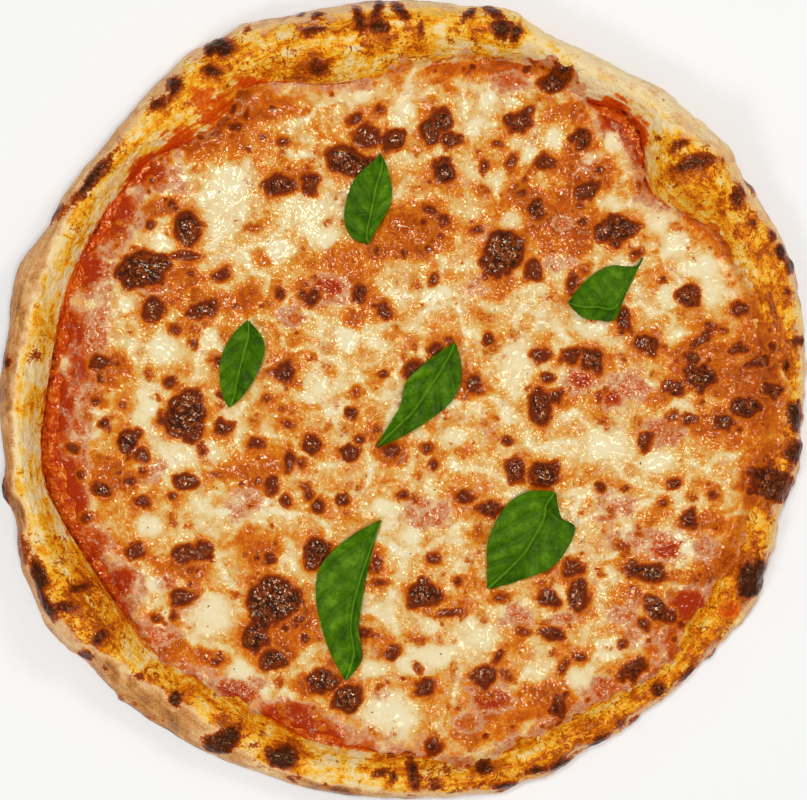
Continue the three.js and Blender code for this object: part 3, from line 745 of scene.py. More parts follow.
# The cheese. A blister is (x, y, length, width, degrees turned, how brown), of which the last two may be left
# out; a patch is (x, y, width, height). "ragged", "relief" and "wrinkles" are (height, size).
cheese = {
    "cells": 300,
    "scattered": {
        "count": 430, "seed": 5, "margin": 3, "skipped": 0.75, "size": (1.8, 3.6), "brown": (0.32, 0.44),
    },
    "spillShare": 0.7,
    "lipReach": 1.6,
    "taper": (4, 9),
    "bodyReach": 14,
    "onDough": 0.7,
    "edgeReach": 11,
    "ragged": ((2.4, 10), (1.4, 4)),
    "waves": 0.35,
    "relief": ((0.45, 7), (0.3, 2.6)),
    "wrinkles": (0.27, 1.5),
    "warmth": {"base": 0.35, "noise": 0.14, "cream": -0.28, "orange": 0.31, "near": 0.18, "halo": 0.4},
    "tomato": {"base": 0.16, "pink": 0.52, "noise": 0.14, "near": 0.42, "red": 0.62, "orange": -0.24},
    "creaminess": {"cream": 1, "halo": -0.3, "strands": -0.2},
    "milkiness": 0.68,
    "blisters": [
        (-103, 52, 18, 15, 0, 1), (-85, 68, 14, 10, 90, 1), (-86, 57, 12, 4, 0, 0.9), (-91, 77, 5, 5),
        (-100, 69, 5, 4, 90), (-81, 108, 9, 7, 0, 0.9), (-61, 113, 6, 3, 90), (-65, 108, 5, 4, 90),
        (-99, 36, 10, 8, 80, 0.9), (-90, 28, 5, 5, 0, 0.7), (-83, 22, 5, 4, 90),
        (-79, 36, 14, 7, 20, 0.95), (-84, 50, 4, 4), (-72, 49, 8, 5, 0, 0.75), (-73, 15, 5, 4, 90),
        (-72, 2, 4, 4), (-119, 15, 10, 6, 0, 0.9), (-119, 9, 6, 4, 90), (-121, 0, 5, 4),
        (-110, -2, 4, 3, 0, 0.7), (-118, -9, 5, 5), (-109, -16, 9, 9, 0, 1), (-103, -22, 7, 5, 140, 0.9),
        (-131, -19, 6, 5), (-108, -32, 6, 4, 0, 0.85), (-119, -36, 8, 6, 0, 0.9),
        (-103, -40, 8, 5, 0, 0.85), (-126, -47, 7, 6, 0, 0.7), (-86, -6, 17, 16, 90, 1),
        (-94, -8, 6, 4, 0, 0.9), (-92, 7, 6, 5, 0, 0.85), (-71, -11, 7, 6, 0, 0.9), (-58, -17, 7, 5),
        (-86, -32, 9, 7, 0, 0.95), (-91, -38, 5, 4), (-74, -29, 7, 2.5, 0, 0.7), (-57, -32, 4, 4, 0, 0.7),
        (-19, 111, 8, 5, 30, 0.85), (-9.5, 114.5, 5, 3.5), (-14, 104, 12, 9, 0, 0.75),
        (-4, 103, 9, 9, 0, 0.95), (-21, 94, 20, 11, 155, 1), (-47, 102, 6, 4), (-49, 85, 14, 8, 0, 0.95),
        (-37, 86, 9, 7, 90, 0.95), (16, 110, 10, 8, 120, 1), (11, 106, 10, 8, 90, 1),
        (19, 103, 9, 6, 0, 0.95), (16, 90, 10, 9, 90, 1), (46, 110, 10, 8, 0, 0.95), (37, 101, 6, 3),
        (32, 92, 6, 4, 90), (10, 75, 9, 5, 155), (16, 71, 6, 4), (40, 59, 17, 16, 0, 1),
        (52, 51, 9, 6, 130, 0.9), (53, 75, 9, 6, 90, 0.95), (56, 94, 9, 6, 0, 0.85), (47, 82, 5, 4),
        (29, 67, 5, 4), (-10, 59, 5, 4, 90), (0, 58, 5, 4, 90), (71, 103, 8, 8, 0, 0.95),
        (73, 83, 12, 7, 25, 0.95), (84, 67, 17, 10, 10, 1), (78, 91, 6, 4), (70, 70, 5, 3, 0, 0.7),
        (-49, 42, 6, 5, 90, 0.9), (-36, 40, 7, 6, 0, 0.9), (-17, 42, 8, 6, 90, 0.9),
        (-8, 35, 7, 6, 90, 0.9), (-47, 11, 9, 8, 0, 0.9), (-8, 10, 5, 4), (4, 12, 7, 7, 0, 0.9),
        (13, 20, 6, 6, 0, 0.85), (18, 24, 5, 3), (34, 24, 6, 5.5, 90, 0.85), (54, 18, 8, 6, 0, 0.85),
        (28, 6, 9, 6, 100, 0.88), (54, -3, 14, 9, 90, 0.9), (-20, -6, 5.5, 5, 90, 0.85),
        (-36, -18, 7, 7, 0, 0.95), (-21, -21, 7, 7, 0, 0.9), (-17, -15, 5, 4), (-5, -20, 8, 6, 0, 0.9),
        (-45, -24, 9, 5, 90, 0.85), (-52, -33, 7, 6, 90, 0.85), (-46, -40, 5, 5), (-37, -37, 5, 4),
        (-33, -42, 6, 6, 0, 0.85), (-24, -39, 6, 6, 0, 0.85), (0, -38, 5, 4), (12, -25, 6, 5, 90, 0.85),
        (24, -38, 8, 6), (34, -43, 12, 6, 0, 0.9), (45, -28, 10, 7, 90, 1), (56, -30, 12, 10, 0, 1),
        (41, -16, 5, 5), (102, 47, 5, 3), (113, 41, 10, 8, 0, 0.95), (133, 36, 8, 6, 0, 0.9),
        (87, 32, 10, 6, 90, 0.95), (67, 46, 10, 5, 70, 0.85), (96, 22, 11, 7, 0, 0.95),
        (66, 17, 8, 7, 0, 0.85), (75, 16, 9, 9, 0, 0.95), (57, 9, 6, 5), (114, 17, 7, 6, 0, 0.9),
        (118, 24, 16, 4, 38, 0.85), (117, 9, 12, 9, 0, 1), (107, 5, 9, 6, 0, 0.9), (132, 20, 6, 5, 0, 0.9),
        (135, -3, 12, 8, 0, 1), (127, -9, 8, 6, 0, 0.95), (144, -32, 15, 13, 0, 1),
        (60, 126, 12, 9, 25, 0.95), (78, 1, 6, 4, 90, 0.7), (96, -16, 7, 6, 90, 0.9),
        (78, -34, 5, 5, 0, 0.85), (88, -35, 4, 3), (107, -33, 6, 5, 40, 0.85), (122, -37, 5, 4, 90),
        (113, -47, 8, 7, 90, 0.9), (103, -41, 5, 4), (146, 4, 8, 6, 0, 0.95), (-106, -60, 9, 6, 0, 0.85),
        (-86, -60, 9, 8, 0, 0.9), (-79, -60, 8, 8, 0, 0.9), (-87, -78, 9, 8, 0, 0.85), (-97, -86, 5, 4),
        (-52, -79, 20, 18, 60, 1), (-59, -94, 11, 9, 90, 1), (-51, -102, 10, 9, 0, 1),
        (-31, -111, 12, 9, 0, 1), (-22, -118, 12, 11, 90, 1), (-41, -86, 6, 4, 0, 0.85),
        (-34, -60, 12, 10, 80, 1), (-53, -63, 6, 5, 0, 0.85), (-10, -64, 8, 4, 90, 0.85), (-9, -72, 7, 4),
        (-15, -91, 7, 5, 0, 0.85), (-4, -100, 6, 6, 0, 0.85), (8, -77, 13, 10, 0, 1), (19, -84, 12, 4, 10),
        (9, -113, 8, 7, 90, 0.9), (32, -109, 10, 9, 90, 0.9), (38, -102, 7, 4, 50),
        (12, -62, 5, 5, 0, 0.75), (22, -72, 4, 4), (12, -137, 8, 6, 90, 0.9), (57, -78, 8, 7, 0, 1),
        (67, -67, 10, 7, 40), (69, -78, 12, 8, 100, 0.95), (96, -68, 18, 7, 170, 1),
        (101, -83, 15, 7, 135, 1), (59, -92, 11, 6, 0, 0.9), (70, -101, 6, 4, 0, 0.85),
        (90, -107, 14, 7, 25, 0.95), (60, 1, 7, 6), (2, 67, 20, 14, 150, 0.42),
        (127, -64, 14, 9, 70, 0.42), (61, -121, 10, 7, 90, 0.9), (87, -96, 5, 4), (95, -88, 6, 5, 0, 0.85),
    ],
    "creamPools": [
        (-70, 78, 24, 33), (-97, 62, 10, 10), (-35, 75, 24, 18), (-18, 120, 10, 6), (0, 112, 12, 14),
        (33, 118, 8, 10), (28, 107, 8, 8), (50, 98, 8, 8), (-50, 60, 14, 12), (83, 103, 10, 12),
        (60, 103, 8, 8), (108, 62, 14, 10), (100, 70, 12, 10), (-95, 20, 14, 14), (-100, 0, 10, 16),
        (-85, -20, 30, 10), (-110, 38, 8, 8), (-100, -50, 10, 10), (12, 43, 18, 10), (45, 15, 16, 26),
        (-22, 24, 10, 10), (-7, -43, 12, 8), (105, 42, 10, 12), (122, 43, 14, 14), (120, 53, 22, 8),
        (75, 28, 14, 8), (107, 26, 8, 6), (80, -18, 18, 14), (100, -25, 16, 10), (-78, -85, 26, 20),
        (-97, -73, 10, 8), (-5, -126, 26, 18), (28, -92, 20, 18), (12, -102, 20, 12), (-10, -83, 14, 8),
        (84, -70, 10, 8), (82, -98, 12, 10), (68, -110, 18, 10), (113, -60, 9, 6), (4, -55, 9, 6),
        (-35, 5, 14, 10), (20, -15, 14, 10), (90, 55, 14, 8), (-32, 64, 14, 12), (-96, -86, 12, 8),
        (-64, -108, 14, 10), (-13, -107, 12, 9), (3, -104, 14, 10), (43, 70, 14, 10), (-103, -8, 12, 14),
        (-31, 88, 10, 8), (75, 95, 9, 7),
    ],
    "orangePatches": [
        (0, 68, 20, 20), (12, 62, 20, 14), (-73, 97, 12, 8), (34, 132, 18, 8), (17, 131, 16, 8),
        (113, 64, 10, 8), (-83, -83, 16, 14), (125, -62, 12, 16), (-39, -114, 12, 8), (24, -19, 10, 8),
        (100, 0, 12, 8), (64, 0, 10, 8), (-52, 57, 10, 8), (87, -78, 12, 12), (121, -47, 10, 8),
        (-20, 32, 12, 10), (-39, 6, 10, 8), (-58, -57, 18, 16), (-66, 101, 26, 14), (-20, 50, 16, 12),
        (-64, 38, 16, 14), (30, -131, 22, 10), (62, 62, 18, 14), (119, -69, 14, 12), (101, -97, 12, 8),
        (-97, 76, 10, 8), (47, 131, 14, 8), (36, 44, 16, 12), (-79, 100, 16, 10), (-62, 117, 34, 14),
        (-82, 107, 26, 14), (-98, 92, 18, 14), (5, 68, 24, 14), (60, 70, 30, 22), (72, 92, 26, 20),
        (70, 114, 10, 8), (-26, 57, 14, 12), (-50, 114, 16, 10), (-88, 45, 26, 16), (-88, -66, 22, 12),
        (118, 14, 26, 22), (130, -12, 24, 18), (40, -122, 24, 16), (-90, -100, 24, 8), (62, 112, 14, 8),
        (-45, -92, 24, 26), (-25, -100, 14, 14), (-60, -28, 20, 14), (-36, 44, 16, 10), (46, 78, 20, 16),
        (13, -78, 12, 8), (-8, 60, 22, 10), (-6, -20, 16, 10), (60, -118, 18, 14), (-40, 88, 20, 12),
        (-24, -114, 14, 12), (115, -95, 20, 14), (137, 5, 18, 20), (-112, 12, 18, 14), (-115, -30, 20, 16),
        (20, 6, 16, 12), (142, 25, 18, 30), (142, -25, 18, 40), (132, 60, 20, 16), (120, 72, 16, 10),
    ],
    "pinkPatches": [
        (-122, 25, 12, 30), (-128, 0, 14, 30), (-130, -30, 12, 26), (-110, 72, 16, 20), (-95, 88, 18, 14),
        (-45, 33, 12, 8), (-28, 42, 20, 12), (10, -45, 20, 12), (88, 5, 18, 14), (68, 6, 16, 12),
        (106, -56, 14, 10), (87, -84, 14, 10), (104, -13, 16, 14), (-108, -76, 14, 16), (-95, -92, 16, 10),
        (-63, -113, 20, 12), (35, -116, 16, 10), (45, -86, 14, 10), (-8, -118, 10, 8), (78, -113, 12, 8),
        (95, -95, 14, 10), (83, -42, 18, 12), (-62, -42, 14, 12), (112, -80, 14, 16), (120, -60, 12, 14),
        (86, 108, 14, 14), (104, 92, 12, 14), (105, 80, 10, 14), (-40, -125, 24, 10), (62, 55, 12, 10),
        (30, 45, 12, 8), (-120, 50, 12, 20), (90, -55, 22, 10), (0, 0, 10, 8), (-100, -28, 12, 8),
    ],
    "redPatches": [
        (-66, 116, 14, 5), (-82, 106, 12, 6), (-100, 90, 10, 8), (-114, 76, 10, 16), (-124, 55, 8, 18),
        (-131, 25, 7, 20), (-135, -5, 7, 20), (-133, -32, 9, 22), (-122, -56, 12, 10), (-112, -70, 8, 8),
        (86, 112, 14, 10), (93, 101, 8, 14), (113, -80, 14, 10), (106, -95, 9, 12), (-48, -123, 16, 7),
        (-34, -131, 18, 8), (-30, 45, 12, 8), (63, 70, 8, 6), (118, 14, 8, 6), (36, -120, 16, 8),
        (26, -128, 12, 8), (72, 88, 10, 8), (-98, 44, 10, 5), (64, -86, 10, 5), (103, -60, 10, 8),
        (82, 0, 6, 6), (-94, -72, 8, 6), (42, 126, 16, 8), (-129, -43, 9, 12), (-128, 12, 8, 12),
        (70, 8, 6, 6),
    ],
}


def cheeseEdgeAt(degrees):
    spill = around(1, pizza["cheeseSpill"], degrees)
    thin = around(0, thinReach, degrees)
    reach = np.where(spill < 0, cheese["spillShare"] * spill, spill)
    return insideAt(degrees) + reach + cheese["lipReach"] * smoothStep(-4, 0, spill) + thin


def cheeseEdgeRagged(x, y, degrees):
    (broad, broadSize), (fine, fineSize) = cheese["ragged"]
    ragged = cheeseEdgeAt(degrees) + broad * flatNoise(x, y, broadSize, 50)
    return ragged + fine * flatNoise(x, y, fineSize, 51)


def scatteredSpots():
    # small pale spots by a seeded rule: more on warm cheese, few on the creamy pools
    rule = cheese["scattered"]
    draw, spots = np.random.default_rng(rule["seed"]), []
    while len(spots) < rule["count"]:
        x, y = draw.uniform(-150, 150, 2)
        radius, degrees = toPolar(np.array([x]), np.array([y]))
        if radius[0] > cheeseEdgeAt(degrees)[0] - rule["margin"]:
            continue
        pool = zoneField(np.array([x]), np.array([y]), cheese["creamPools"])[0]
        if draw.random() < rule["skipped"] * pool:
            continue
        size = rule["size"][0] + rule["size"][1] * draw.random() ** 2
        amount = rule["brown"][0] + rule["brown"][1] * draw.random() ** 2
        spots.append((x, y, size * draw.uniform(1, 2), size, draw.uniform(0, 180), amount))
    return spots


blisterSpots = lobed(cheese["blisters"], 6) + scatteredSpots()


def cheeseSurface(x, y, fromEdge):
    # height of the top, how deep each point lies in a blister, and how near one it is
    high = cheese["waves"]
    waves = high * np.sin(x / 9 + np.sin(y / 13)) + high * np.sin(y / 8 + np.sin(x / 11))
    steep, gentle = cheese["taper"]
    taper = steep + gentle * smoothStep(0.5, 4, around(1, pizza["cheeseSpill"], toPolar(x, y)[1]))
    lip = np.sqrt(np.clip(1 - (1 - np.clip(fromEdge / taper, 0, 1)) ** 2, 0, 1))
    body = smoothStep(0, cheese["bodyReach"], fromEdge)
    thick = pizza["cheeseThickness"] * (0.5 + 0.5 * body) * lip
    onDough = doughTop(x, y) - 0.2 + cheese["onDough"] * pizza["lipThickness"] * lip
    height = np.maximum(pizza["cheeseBottom"] - 0.1 + thick, onDough)
    toast, halo, dome = spotFields(x, y, blisterSpots, 60, 3, 1.1)
    (broad, broadSize), (fine, fineSize), (crisp, crispSize) = *cheese["relief"], cheese["wrinkles"]
    relief = broad * flatNoise(x, y, broadSize, 61, 2) + fine * flatNoise(x, y, fineSize, 62, 2)
    wrinkles = crisp * flatNoise(x, y, crispSize, 63, 2) * smoothStep(0.4, 0.7, toast)
    return height + (waves * body + relief + dome + wrinkles) * lip, toast, halo


def buildCheese():
    right, up, faces, rim = diskGrid(cheese["cells"])
    reach, degrees = toPolar(right, up)
    turn = np.radians(degrees)
    edge = cheeseEdgeAt(degrees)
    ragged = cheeseEdgeRagged(edge * np.cos(turn), edge * np.sin(turn), degrees)
    radius = reach * (edge + (ragged - edge) * smoothStep(0.7, 1, reach))
    x, y = radius * np.cos(turn), radius * np.sin(turn)
    z, toast, halo = cheeseSurface(x, y, ragged - radius)
    # strands: thin creamy lines; near: close to the edge; low: where the cheese doesn't climb the rim
    strands = smoothStep(0.8, 0.97, 1 - np.abs(flatNoise(x, y, 17, 84, 2)))
    orange = zoneField(x, y, cheese["orangePatches"], 77, 0.5)
    cream = np.maximum(zoneField(x, y, cheese["creamPools"], 74, 0.5), 0.85 * strands * (1 - 0.8 * orange))
    pink = zoneField(x, y, cheese["pinkPatches"], 80, 0.5)
    red = zoneField(x, y, cheese["redPatches"])
    near = 1 - smoothStep(0, cheese["edgeReach"], ragged - radius)
    near = near * (0.8 + 1.2 * flatNoise(x, y, 7, 73, 2))
    low = 1 - smoothStep(0, 4, around(1, pizza["cheeseSpill"], degrees))
    fields = {
        "toast": toast,
        "warm": mixed(
            cheese["warmth"], noise=flatNoise(x, y, 14, 70, 2), cream=cream, orange=orange, near=near,
            halo=halo),
        "pink": mixed(
            cheese["tomato"], pink=pink * (1 - 0.6 * cream), noise=flatNoise(x, y, 12, 71, 2),
            near=near * low * (1 - 0.7 * orange), red=red, orange=orange * (1 - red)),
        "cream": mixed(cheese["creaminess"], cream=cream, halo=halo, strands=strands),
        "milk": cheese["milkiness"] * pink * (1 - red),
    }
    # close the body: the rim goes down into the dough or sauce, then in under the cheese
    rimX, rimY = x[rim], y[rim]
    sunk = np.stack([rimX, rimY, z[rim] - 0.9], 1)
    shrink = (np.hypot(rimX, rimY) - 6) / np.hypot(rimX, rimY)
    under = np.stack([rimX * shrink, rimY * shrink, np.full(len(rim), pizza["baseThickness"] + 0.4)], 1)
    here = np.arange(len(rim))
    beside = (here + 1) % len(rim)
    first = len(x)
    second = first + len(rim)
    faces += np.stack([rim[here], first + here, first + beside, rim[beside]], 1).tolist()
    faces += np.stack([first + here, second + here, second + beside, first + beside], 1).tolist()
    faces.append(tuple((second + here[::-1]).tolist()))
    vertices = np.concatenate([np.stack([x, y, z], 1), sunk, under])
    values = {name: np.concatenate([field, field[rim], field[rim]]) for name, field in fields.items()}
    return makeMesh("meltedCheese", vertices, faces, values, cheeseMaterial())


cheesePiece = buildCheese()
finishPiece(cheesePiece, "melted_cheese", "cheese")
print("cheese", len(cheesePiece.data.polygons))

# Basil leaves: points of the two edges from stem to tip, and where the midrib runs between them (0 left,
# 1 right). The other values are heights of the leaf's folds, and how it lies on the cheese.
leaves = {
    "rows": 110,
    "columns": 56,
    "thickness": 0.5,
    "smoothings": 60,
    "sideVeins": 6,
    "quilt": 0.45,
    "ripple": 0.9,
    "groove": (-0.8, 0.9),
    "curl": 0.9,
    "gap": 0.12,
    "lift": (0.15, 0.25, 0.6),
    "midribColour": (0.5, 0.4),
    "sideVeinColour": 0.2,
    # the blade's green: random tone, and painted shade, darker left of the midrib and in the grooves by the
    # veins
    "shades": {"base": 0.4, "noise": 0.25, "right": 0.1, "veins": -0.2},
    "shapes": [
        {
            "left": [(-14, 61.5), (-20, 63.9), (-23.2, 72), (-20, 85.5), (-11.2, 94.5), (-9.1, 97.5)],
            "right": [(-13, 62), (-10.5, 67), (-5.6, 75.5), (-4.4, 83), (-6.2, 91.5), (-8.6, 97.2)],
            "midrib": (0.6, 0.6),
        },
        {
            "left": [
                (94.9, 56), (92.4, 51), (87.7, 41.3), (83.4, 31.7), (76.7, 31.5), (70.7, 32.6), (65.2, 38),
            ],
            "right": [
                (94.4, 56.6), (92, 53), (87.6, 52.7), (82.7, 53), (76.7, 50.7), (70.1, 45.2), (65.1, 38.6),
            ],
            "midrib": (0.02, 0.4),
        },
        {
            "left": [(-60.8, 31.3), (-55.6, 25), (-54.7, 18), (-58.4, 8.5), (-63.2, 1.4), (-68.2, -2.8)],
            "right": [(-61.4, 31.5), (-66.5, 26.3), (-71.2, 18), (-72.2, 8), (-70.6, 0.5), (-68.8, -3)],
            "midrib": (0.5, 0.5),
        },
        {
            "left": [(20.9, 22.4), (23.1, 12), (20.2, 0.8), (9.5, -8.6), (-2.8, -15.7), (-10.1, -18.5)],
            "right": [(20.3, 22.8), (10, 15.6), (1.4, 7.3), (-1.2, -2.2), (-6.6, -11.5), (-10.4, -18)],
            "midrib": (0.5, 0.6),
        },
        {
            "left": [(-8.5, -47.6), (-12, -59), (-15.4, -75), (-17.3, -89.8), (-16.2, -102), (-22.3, -110.8)],
            "right": [(-9, -47.3), (-19.9, -53.3), (-32, -64.5), (-34.2, -78.5), (-29.6, -97),
                (-22.9, -110.6)],
            "midrib": (0.03, 0.3),
        },
        {
            "left": [(60.3, -36.8), (62.2, -46), (67.8, -50.8), (60.2, -64.4), (46, -71), (33.8, -74.7)],
            "right": [(59, -36), (48.5, -36.2), (39.6, -43), (33.6, -55.5), (33.2, -66.5), (33.2, -74.4)],
            "midrib": (0.4, 0.5),
        },
    ],
}


def smoothCurve(points, count):
    # a Catmull-Rom curve through the points
    points = np.array([points[0], *points, points[-1]], float)
    place = np.linspace(0, len(points) - 3, count)
    start = np.minimum(place.astype(int), len(points) - 4)
    part = (place - start)[:, None]
    before, here, after, beyond = [points[start + step] for step in range(4)]
    square = (2 * before - 5 * here + 4 * after - beyond) * part ** 2
    cube = (3 * here - before - 3 * after + beyond) * part ** 3
    return 0.5 * (2 * here + (after - before) * part + square + cube)


def leafHeights(x, y, across, along, shape, width, number):
    # the underside over the cheese, and the fields that colour the veins and the blade
    degrees = toPolar(x, y)[1]
    ground = cheeseSurface(x, y, cheeseEdgeAt(degrees) - np.hypot(x, y))[0]
    # the leaf lies softly over the cheese: a smoothed ground, lifted clear
    soft = ground.copy()
    for smoothing in range(leaves["smoothings"]):
        padded = np.pad(soft, 1, mode="edge")
        soft = (padded[:-2, 1:-1] + padded[2:, 1:-1] + padded[1:-1, :-2] + padded[1:-1, 2:]) / 4
    rib = shape["midrib"][0] + (shape["midrib"][1] - shape["midrib"][0]) * along
    side = np.abs(across - rib) * width
    # side veins leave the midrib and bend forward along the edge, with the blade puffed up between them
    bend = side / 9 + 0.6 * (side / (width + 1)) ** 2
    phase = along * leaves["sideVeins"] - bend + 0.35 * (across > rib)
    veins = 0.5 + 0.5 * np.cos(2 * math.pi * phase)
    quilt = leaves["quilt"] * (1 - veins ** 2)
    ripple = leaves["ripple"] * flatNoise(x, y, 10, 90 + number, 2)
    groove = leaves["groove"][0] * np.exp(-(side / leaves["groove"][1]) ** 2)
    curl = leaves["curl"] * (np.abs(across - 0.5) * 2) ** 2
    z = soft + quilt * smoothStep(0, 3, side) + ripple + groove + curl
    least, clear, share = leaves["lift"]
    z += max(least, float((ground + clear - z).max()) * share)
    z = np.maximum(z, ground + leaves["gap"])
    pale, paleWidth = leaves["midribColour"]
    vein = np.maximum(pale * np.exp(-(side / paleWidth) ** 2), leaves["sideVeinColour"] * veins ** 12)
    patches = flatNoise(x, y, 9, 100 + number, 2)
    # tone of the blade with painted shade: lighter right of the midrib, darker in the vein grooves
    toneAndPaintedShade = mixed(leaves["shades"], noise=patches, right=across > rib, veins=veins ** 2)
    return z, {"vein": vein, "toneAndPaintedShade": toneAndPaintedShade}


def buildLeaf(number, shape, material):
    rows, columns = leaves["rows"], leaves["columns"]
    left, right = smoothCurve(shape["left"], rows), smoothCurve(shape["right"], rows)
    across = np.linspace(0, 1, columns)[None, :]
    along = np.linspace(0, 1, rows)[:, None] * np.ones((1, columns))
    x = left[:, :1] * (1 - across) + right[:, :1] * across
    y = left[:, 1:] * (1 - across) + right[:, 1:] * across
    width = np.hypot(*(left - right).T)[:, None]
    z, fields = leafHeights(x, y, across, along, shape, width, number)
    top = np.stack([x, y, z + leaves["thickness"]], -1).reshape(-1, 3)
    bottom = np.stack([x, y, z], -1).reshape(-1, 3)
    count = rows * columns
    corner = gridCorners(rows, columns)
    under = count + corner
    faces = np.stack([corner, corner + columns, corner + columns + 1, corner + 1], 1).tolist()
    faces += np.stack([under, under + 1, under + columns + 1, under + columns], 1).tolist()
    grid = np.arange(count).reshape(rows, columns)
    border = np.concatenate([grid[0], grid[1:, -1], grid[-1, -2::-1], grid[-2:0:-1, 0]])
    beside = np.roll(border, -1)
    faces += np.stack([border, beside, count + beside, count + border], 1).tolist()
    values = {name: np.concatenate([field.ravel(), field.ravel()]) for name, field in fields.items()}
    return makeMesh(f"basilLeaf{number}", np.concatenate([top, bottom]), faces, values, material)


leafGreen = leafMaterial()
for number, shape in enumerate(leaves["shapes"], 1):
    leafPiece = buildLeaf(number, shape, leafGreen)
    finishPiece(leafPiece, "basil", f"basil_leaf_{number}")
print("leaves")

# Dried herb: small dark flakes that lie here and there on the cheese.
herbs = {
    "perSquareMetre": 1100,
    "seed": 4,
    "length": 0.75,
    "reach": 128,
    "steepest": 0.5,
    "turns": ((-0.3, -0.3, 0), (0.3, 0.3, 6.28)),
    "shapes": ((0.5, 0.25, 0.15), (1, 0.5, 0.3)),
}


def herbMaterial():
    # Dried oregano: matte crumbled leaf, dark olive.
    material, tree, shader, *rest, grains = startMaterial(
        "driedOregano", 0.7, 0.2, "#ffffff", (), ((0.8, 2, 0),))
    colour = coated(tree, linear("#1c2a0a"), grains[0], (), 0.3, 0.7, (0.3, "#233208"), (0.7, "#48541a"))
    tree.links.new(colour, shader.inputs["Base Color"])
    return material


def buildHerbs(ground):
    tree = bpy.data.node_groups.new("scatterHerbs", "GeometryNodeTree")
    sockets = {"Ground": "Geometry", "Density": "Float", "Length": "Float", "Reach": "Float", "Seed": "Int"}
    for name, kind in sockets.items():
        tree.interface.new_socket(name, in_out="INPUT", socket_type="NodeSocket" + kind)
    tree.interface.new_socket("Flakes", in_out="OUTPUT", socket_type="NodeSocketGeometry")
    asked = addNode(tree, "NodeGroupInput").outputs
    # only within reach of the middle, and only where the cheese faces upwards
    position = addNode(tree, "GeometryNodeInputPosition")
    far = addNode(tree, "ShaderNodeVectorMath", {0: position}, operation="LENGTH")
    inner = addNode(tree, "FunctionNodeCompare", {
        0: far.outputs["Value"], 1: asked["Reach"]}, operation="LESS_THAN")
    normal = addNode(tree, "GeometryNodeInputNormal")
    upright = addNode(tree, "ShaderNodeSeparateXYZ", {0: normal})
    upper = addNode(tree, "FunctionNodeCompare", {
        0: upright.outputs["Z"], 1: herbs["steepest"]}, operation="GREATER_THAN")
    both = addNode(tree, "FunctionNodeBooleanMath", {
        0: inner, 1: upper}, operation="AND")
    points = addNode(tree, "GeometryNodeDistributePointsOnFaces", {
        "Mesh": asked["Ground"], "Selection": both, "Density": asked["Density"],
        "Seed": asked["Seed"]})
    flake = addNode(tree, "GeometryNodeMeshIcoSphere", {"Radius": asked["Length"], "Subdivisions": 1})
    turn, shape = [
        addNode(tree, "FunctionNodeRandomValue", {
            0: least, 1: most, "Seed": asked["Seed"]}, data_type="FLOAT_VECTOR").outputs[0]
        for least, most in (herbs["turns"], herbs["shapes"])
    ]
    turned = addNode(tree, "FunctionNodeEulerToRotation", {0: turn})
    placed = addNode(tree, "GeometryNodeInstanceOnPoints", {
        "Points": points, "Instance": flake, "Rotation": turned,
        "Scale": shape})
    real = addNode(tree, "GeometryNodeRealizeInstances", {0: placed})
    painted = addNode(tree, "GeometryNodeSetMaterial", {
        "Geometry": real, "Material": herbMaterial()})
    addNode(tree, "NodeGroupOutput", {0: painted})
    piece = bpy.data.objects.new("herbFlakes", ground.data)
    bpy.context.scene.collection.objects.link(piece)
    modifier = piece.modifiers.new("scatterHerbs", "NODES")
    modifier.node_group = tree
    given = {
        "Density": herbs["perSquareMetre"], "Length": herbs["length"] * mm, "Reach": herbs["reach"] * mm,
        "Seed": herbs["seed"],
    }
    for socket in tree.interface.items_tree:
        if socket.name in given:
            modifier[socket.identifier] = given[socket.name]
    mesh = bpy.data.meshes.new_from_object(piece.evaluated_get(bpy.context.evaluated_depsgraph_get()))
    piece.modifiers.clear()
    piece.data = mesh
    mesh.name = "herbFlakes"
    return piece


herbPiece = buildHerbs(cheesePiece)
finishPiece(herbPiece, "basil")
print("herbs", len(herbPiece.data.polygons))

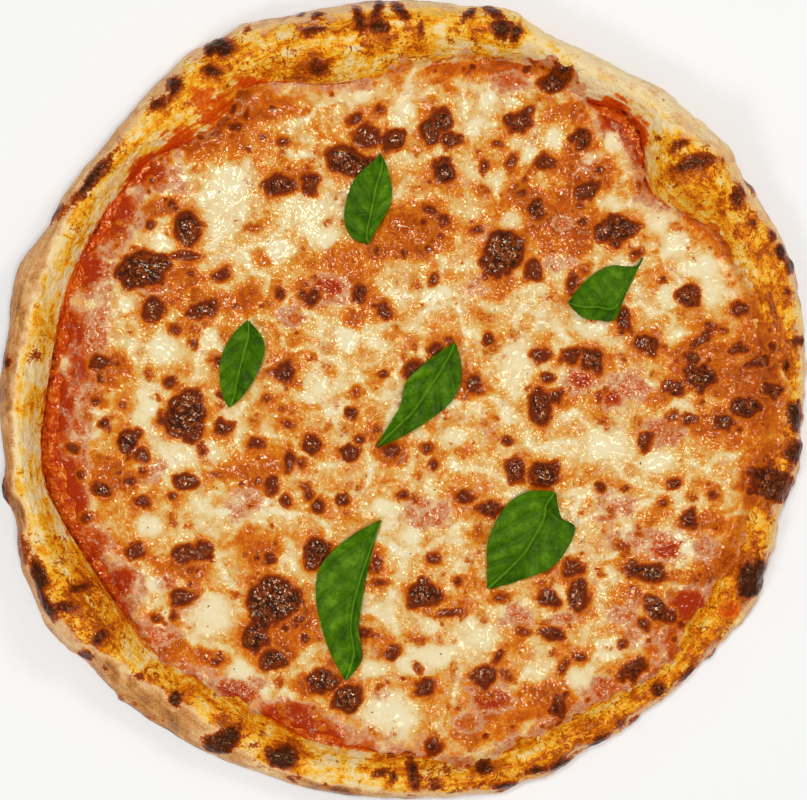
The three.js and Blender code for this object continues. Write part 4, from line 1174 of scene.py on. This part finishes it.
# The studio: a plain pale floor, soft lights and a camera that looks straight down.
studio = {
    "floorSide": 3,
    "floorDepth": 0.2,
    "floorColour": "#fdfdfc",
    "viewWidth": 320.4,
    "cameraHeight": 620,
    "viewCentre": (0.2, 0),
    "widestHeight": 6,
    "sensor": 36,
    "sky": 0.3,
    "lamps": [
        # x, y, z and side in metres, watts
        (-0.25, 0.35, 1.5, 0.18, 6.5),
        (0.35, -0.2, 1.5, 0.18, 4.5),
        (-0.7, -0.8, 1.0, 0.3, 4),
        (0.9, 0.5, 1.0, 0.3, 3),
    ],
}


def addHolder(name, data, place):
    holder = bpy.data.objects.new(name, data)
    holder.location = place
    bpy.context.scene.collection.objects.link(holder)
    return holder


def buildStudio():
    half = studio["floorSide"] / 2
    corners = [(-half, -half, 0), (half, -half, 0), (half, half, 0), (-half, half, 0)]
    mesh = bpy.data.meshes.new("floor")
    mesh.from_pydata(corners, [], [(0, 1, 2, 3)])
    material, tree, shader, *rest = startMaterial("paleFloor", 0.9, 0.1, "#ffffff", (), ())
    shader.inputs["Base Color"].default_value = linear(studio["floorColour"])
    mesh.materials.append(material)
    floor = addHolder("floor", mesh, (0, 0, -studio["floorDepth"] * mm))
    world = bpy.data.worlds.new("sky")
    world.use_nodes = True
    background = world.node_tree.nodes["Background"]
    background.inputs["Strength"].default_value = studio["sky"]
    background.inputs["Color"].default_value = (1, 1, 1, 1)
    bpy.context.scene.world = world
    for x, y, z, side, watts in studio["lamps"]:
        lamp = bpy.data.lights.new("lamp", "AREA")
        lamp.size = side
        lamp.energy = watts
        holder = addHolder("lamp", lamp, (x, y, z))
        holder.rotation_mode = "QUATERNION"
        holder.rotation_quaternion = holder.location.to_track_quat("Z", "Y")
    camera = bpy.data.cameras.new("camera")
    camera.sensor_width = studio["sensor"]
    away = studio["cameraHeight"] - studio["widestHeight"]
    camera.lens = studio["sensor"] * away / studio["viewWidth"]
    centreX, centreY = studio["viewCentre"]
    bpy.context.scene.camera = addHolder(
        "camera", camera, (centreX * mm, centreY * mm, studio["cameraHeight"] * mm))
    bpy.context.scene.view_settings.view_transform = "Standard"


buildStudio()
print("studio")
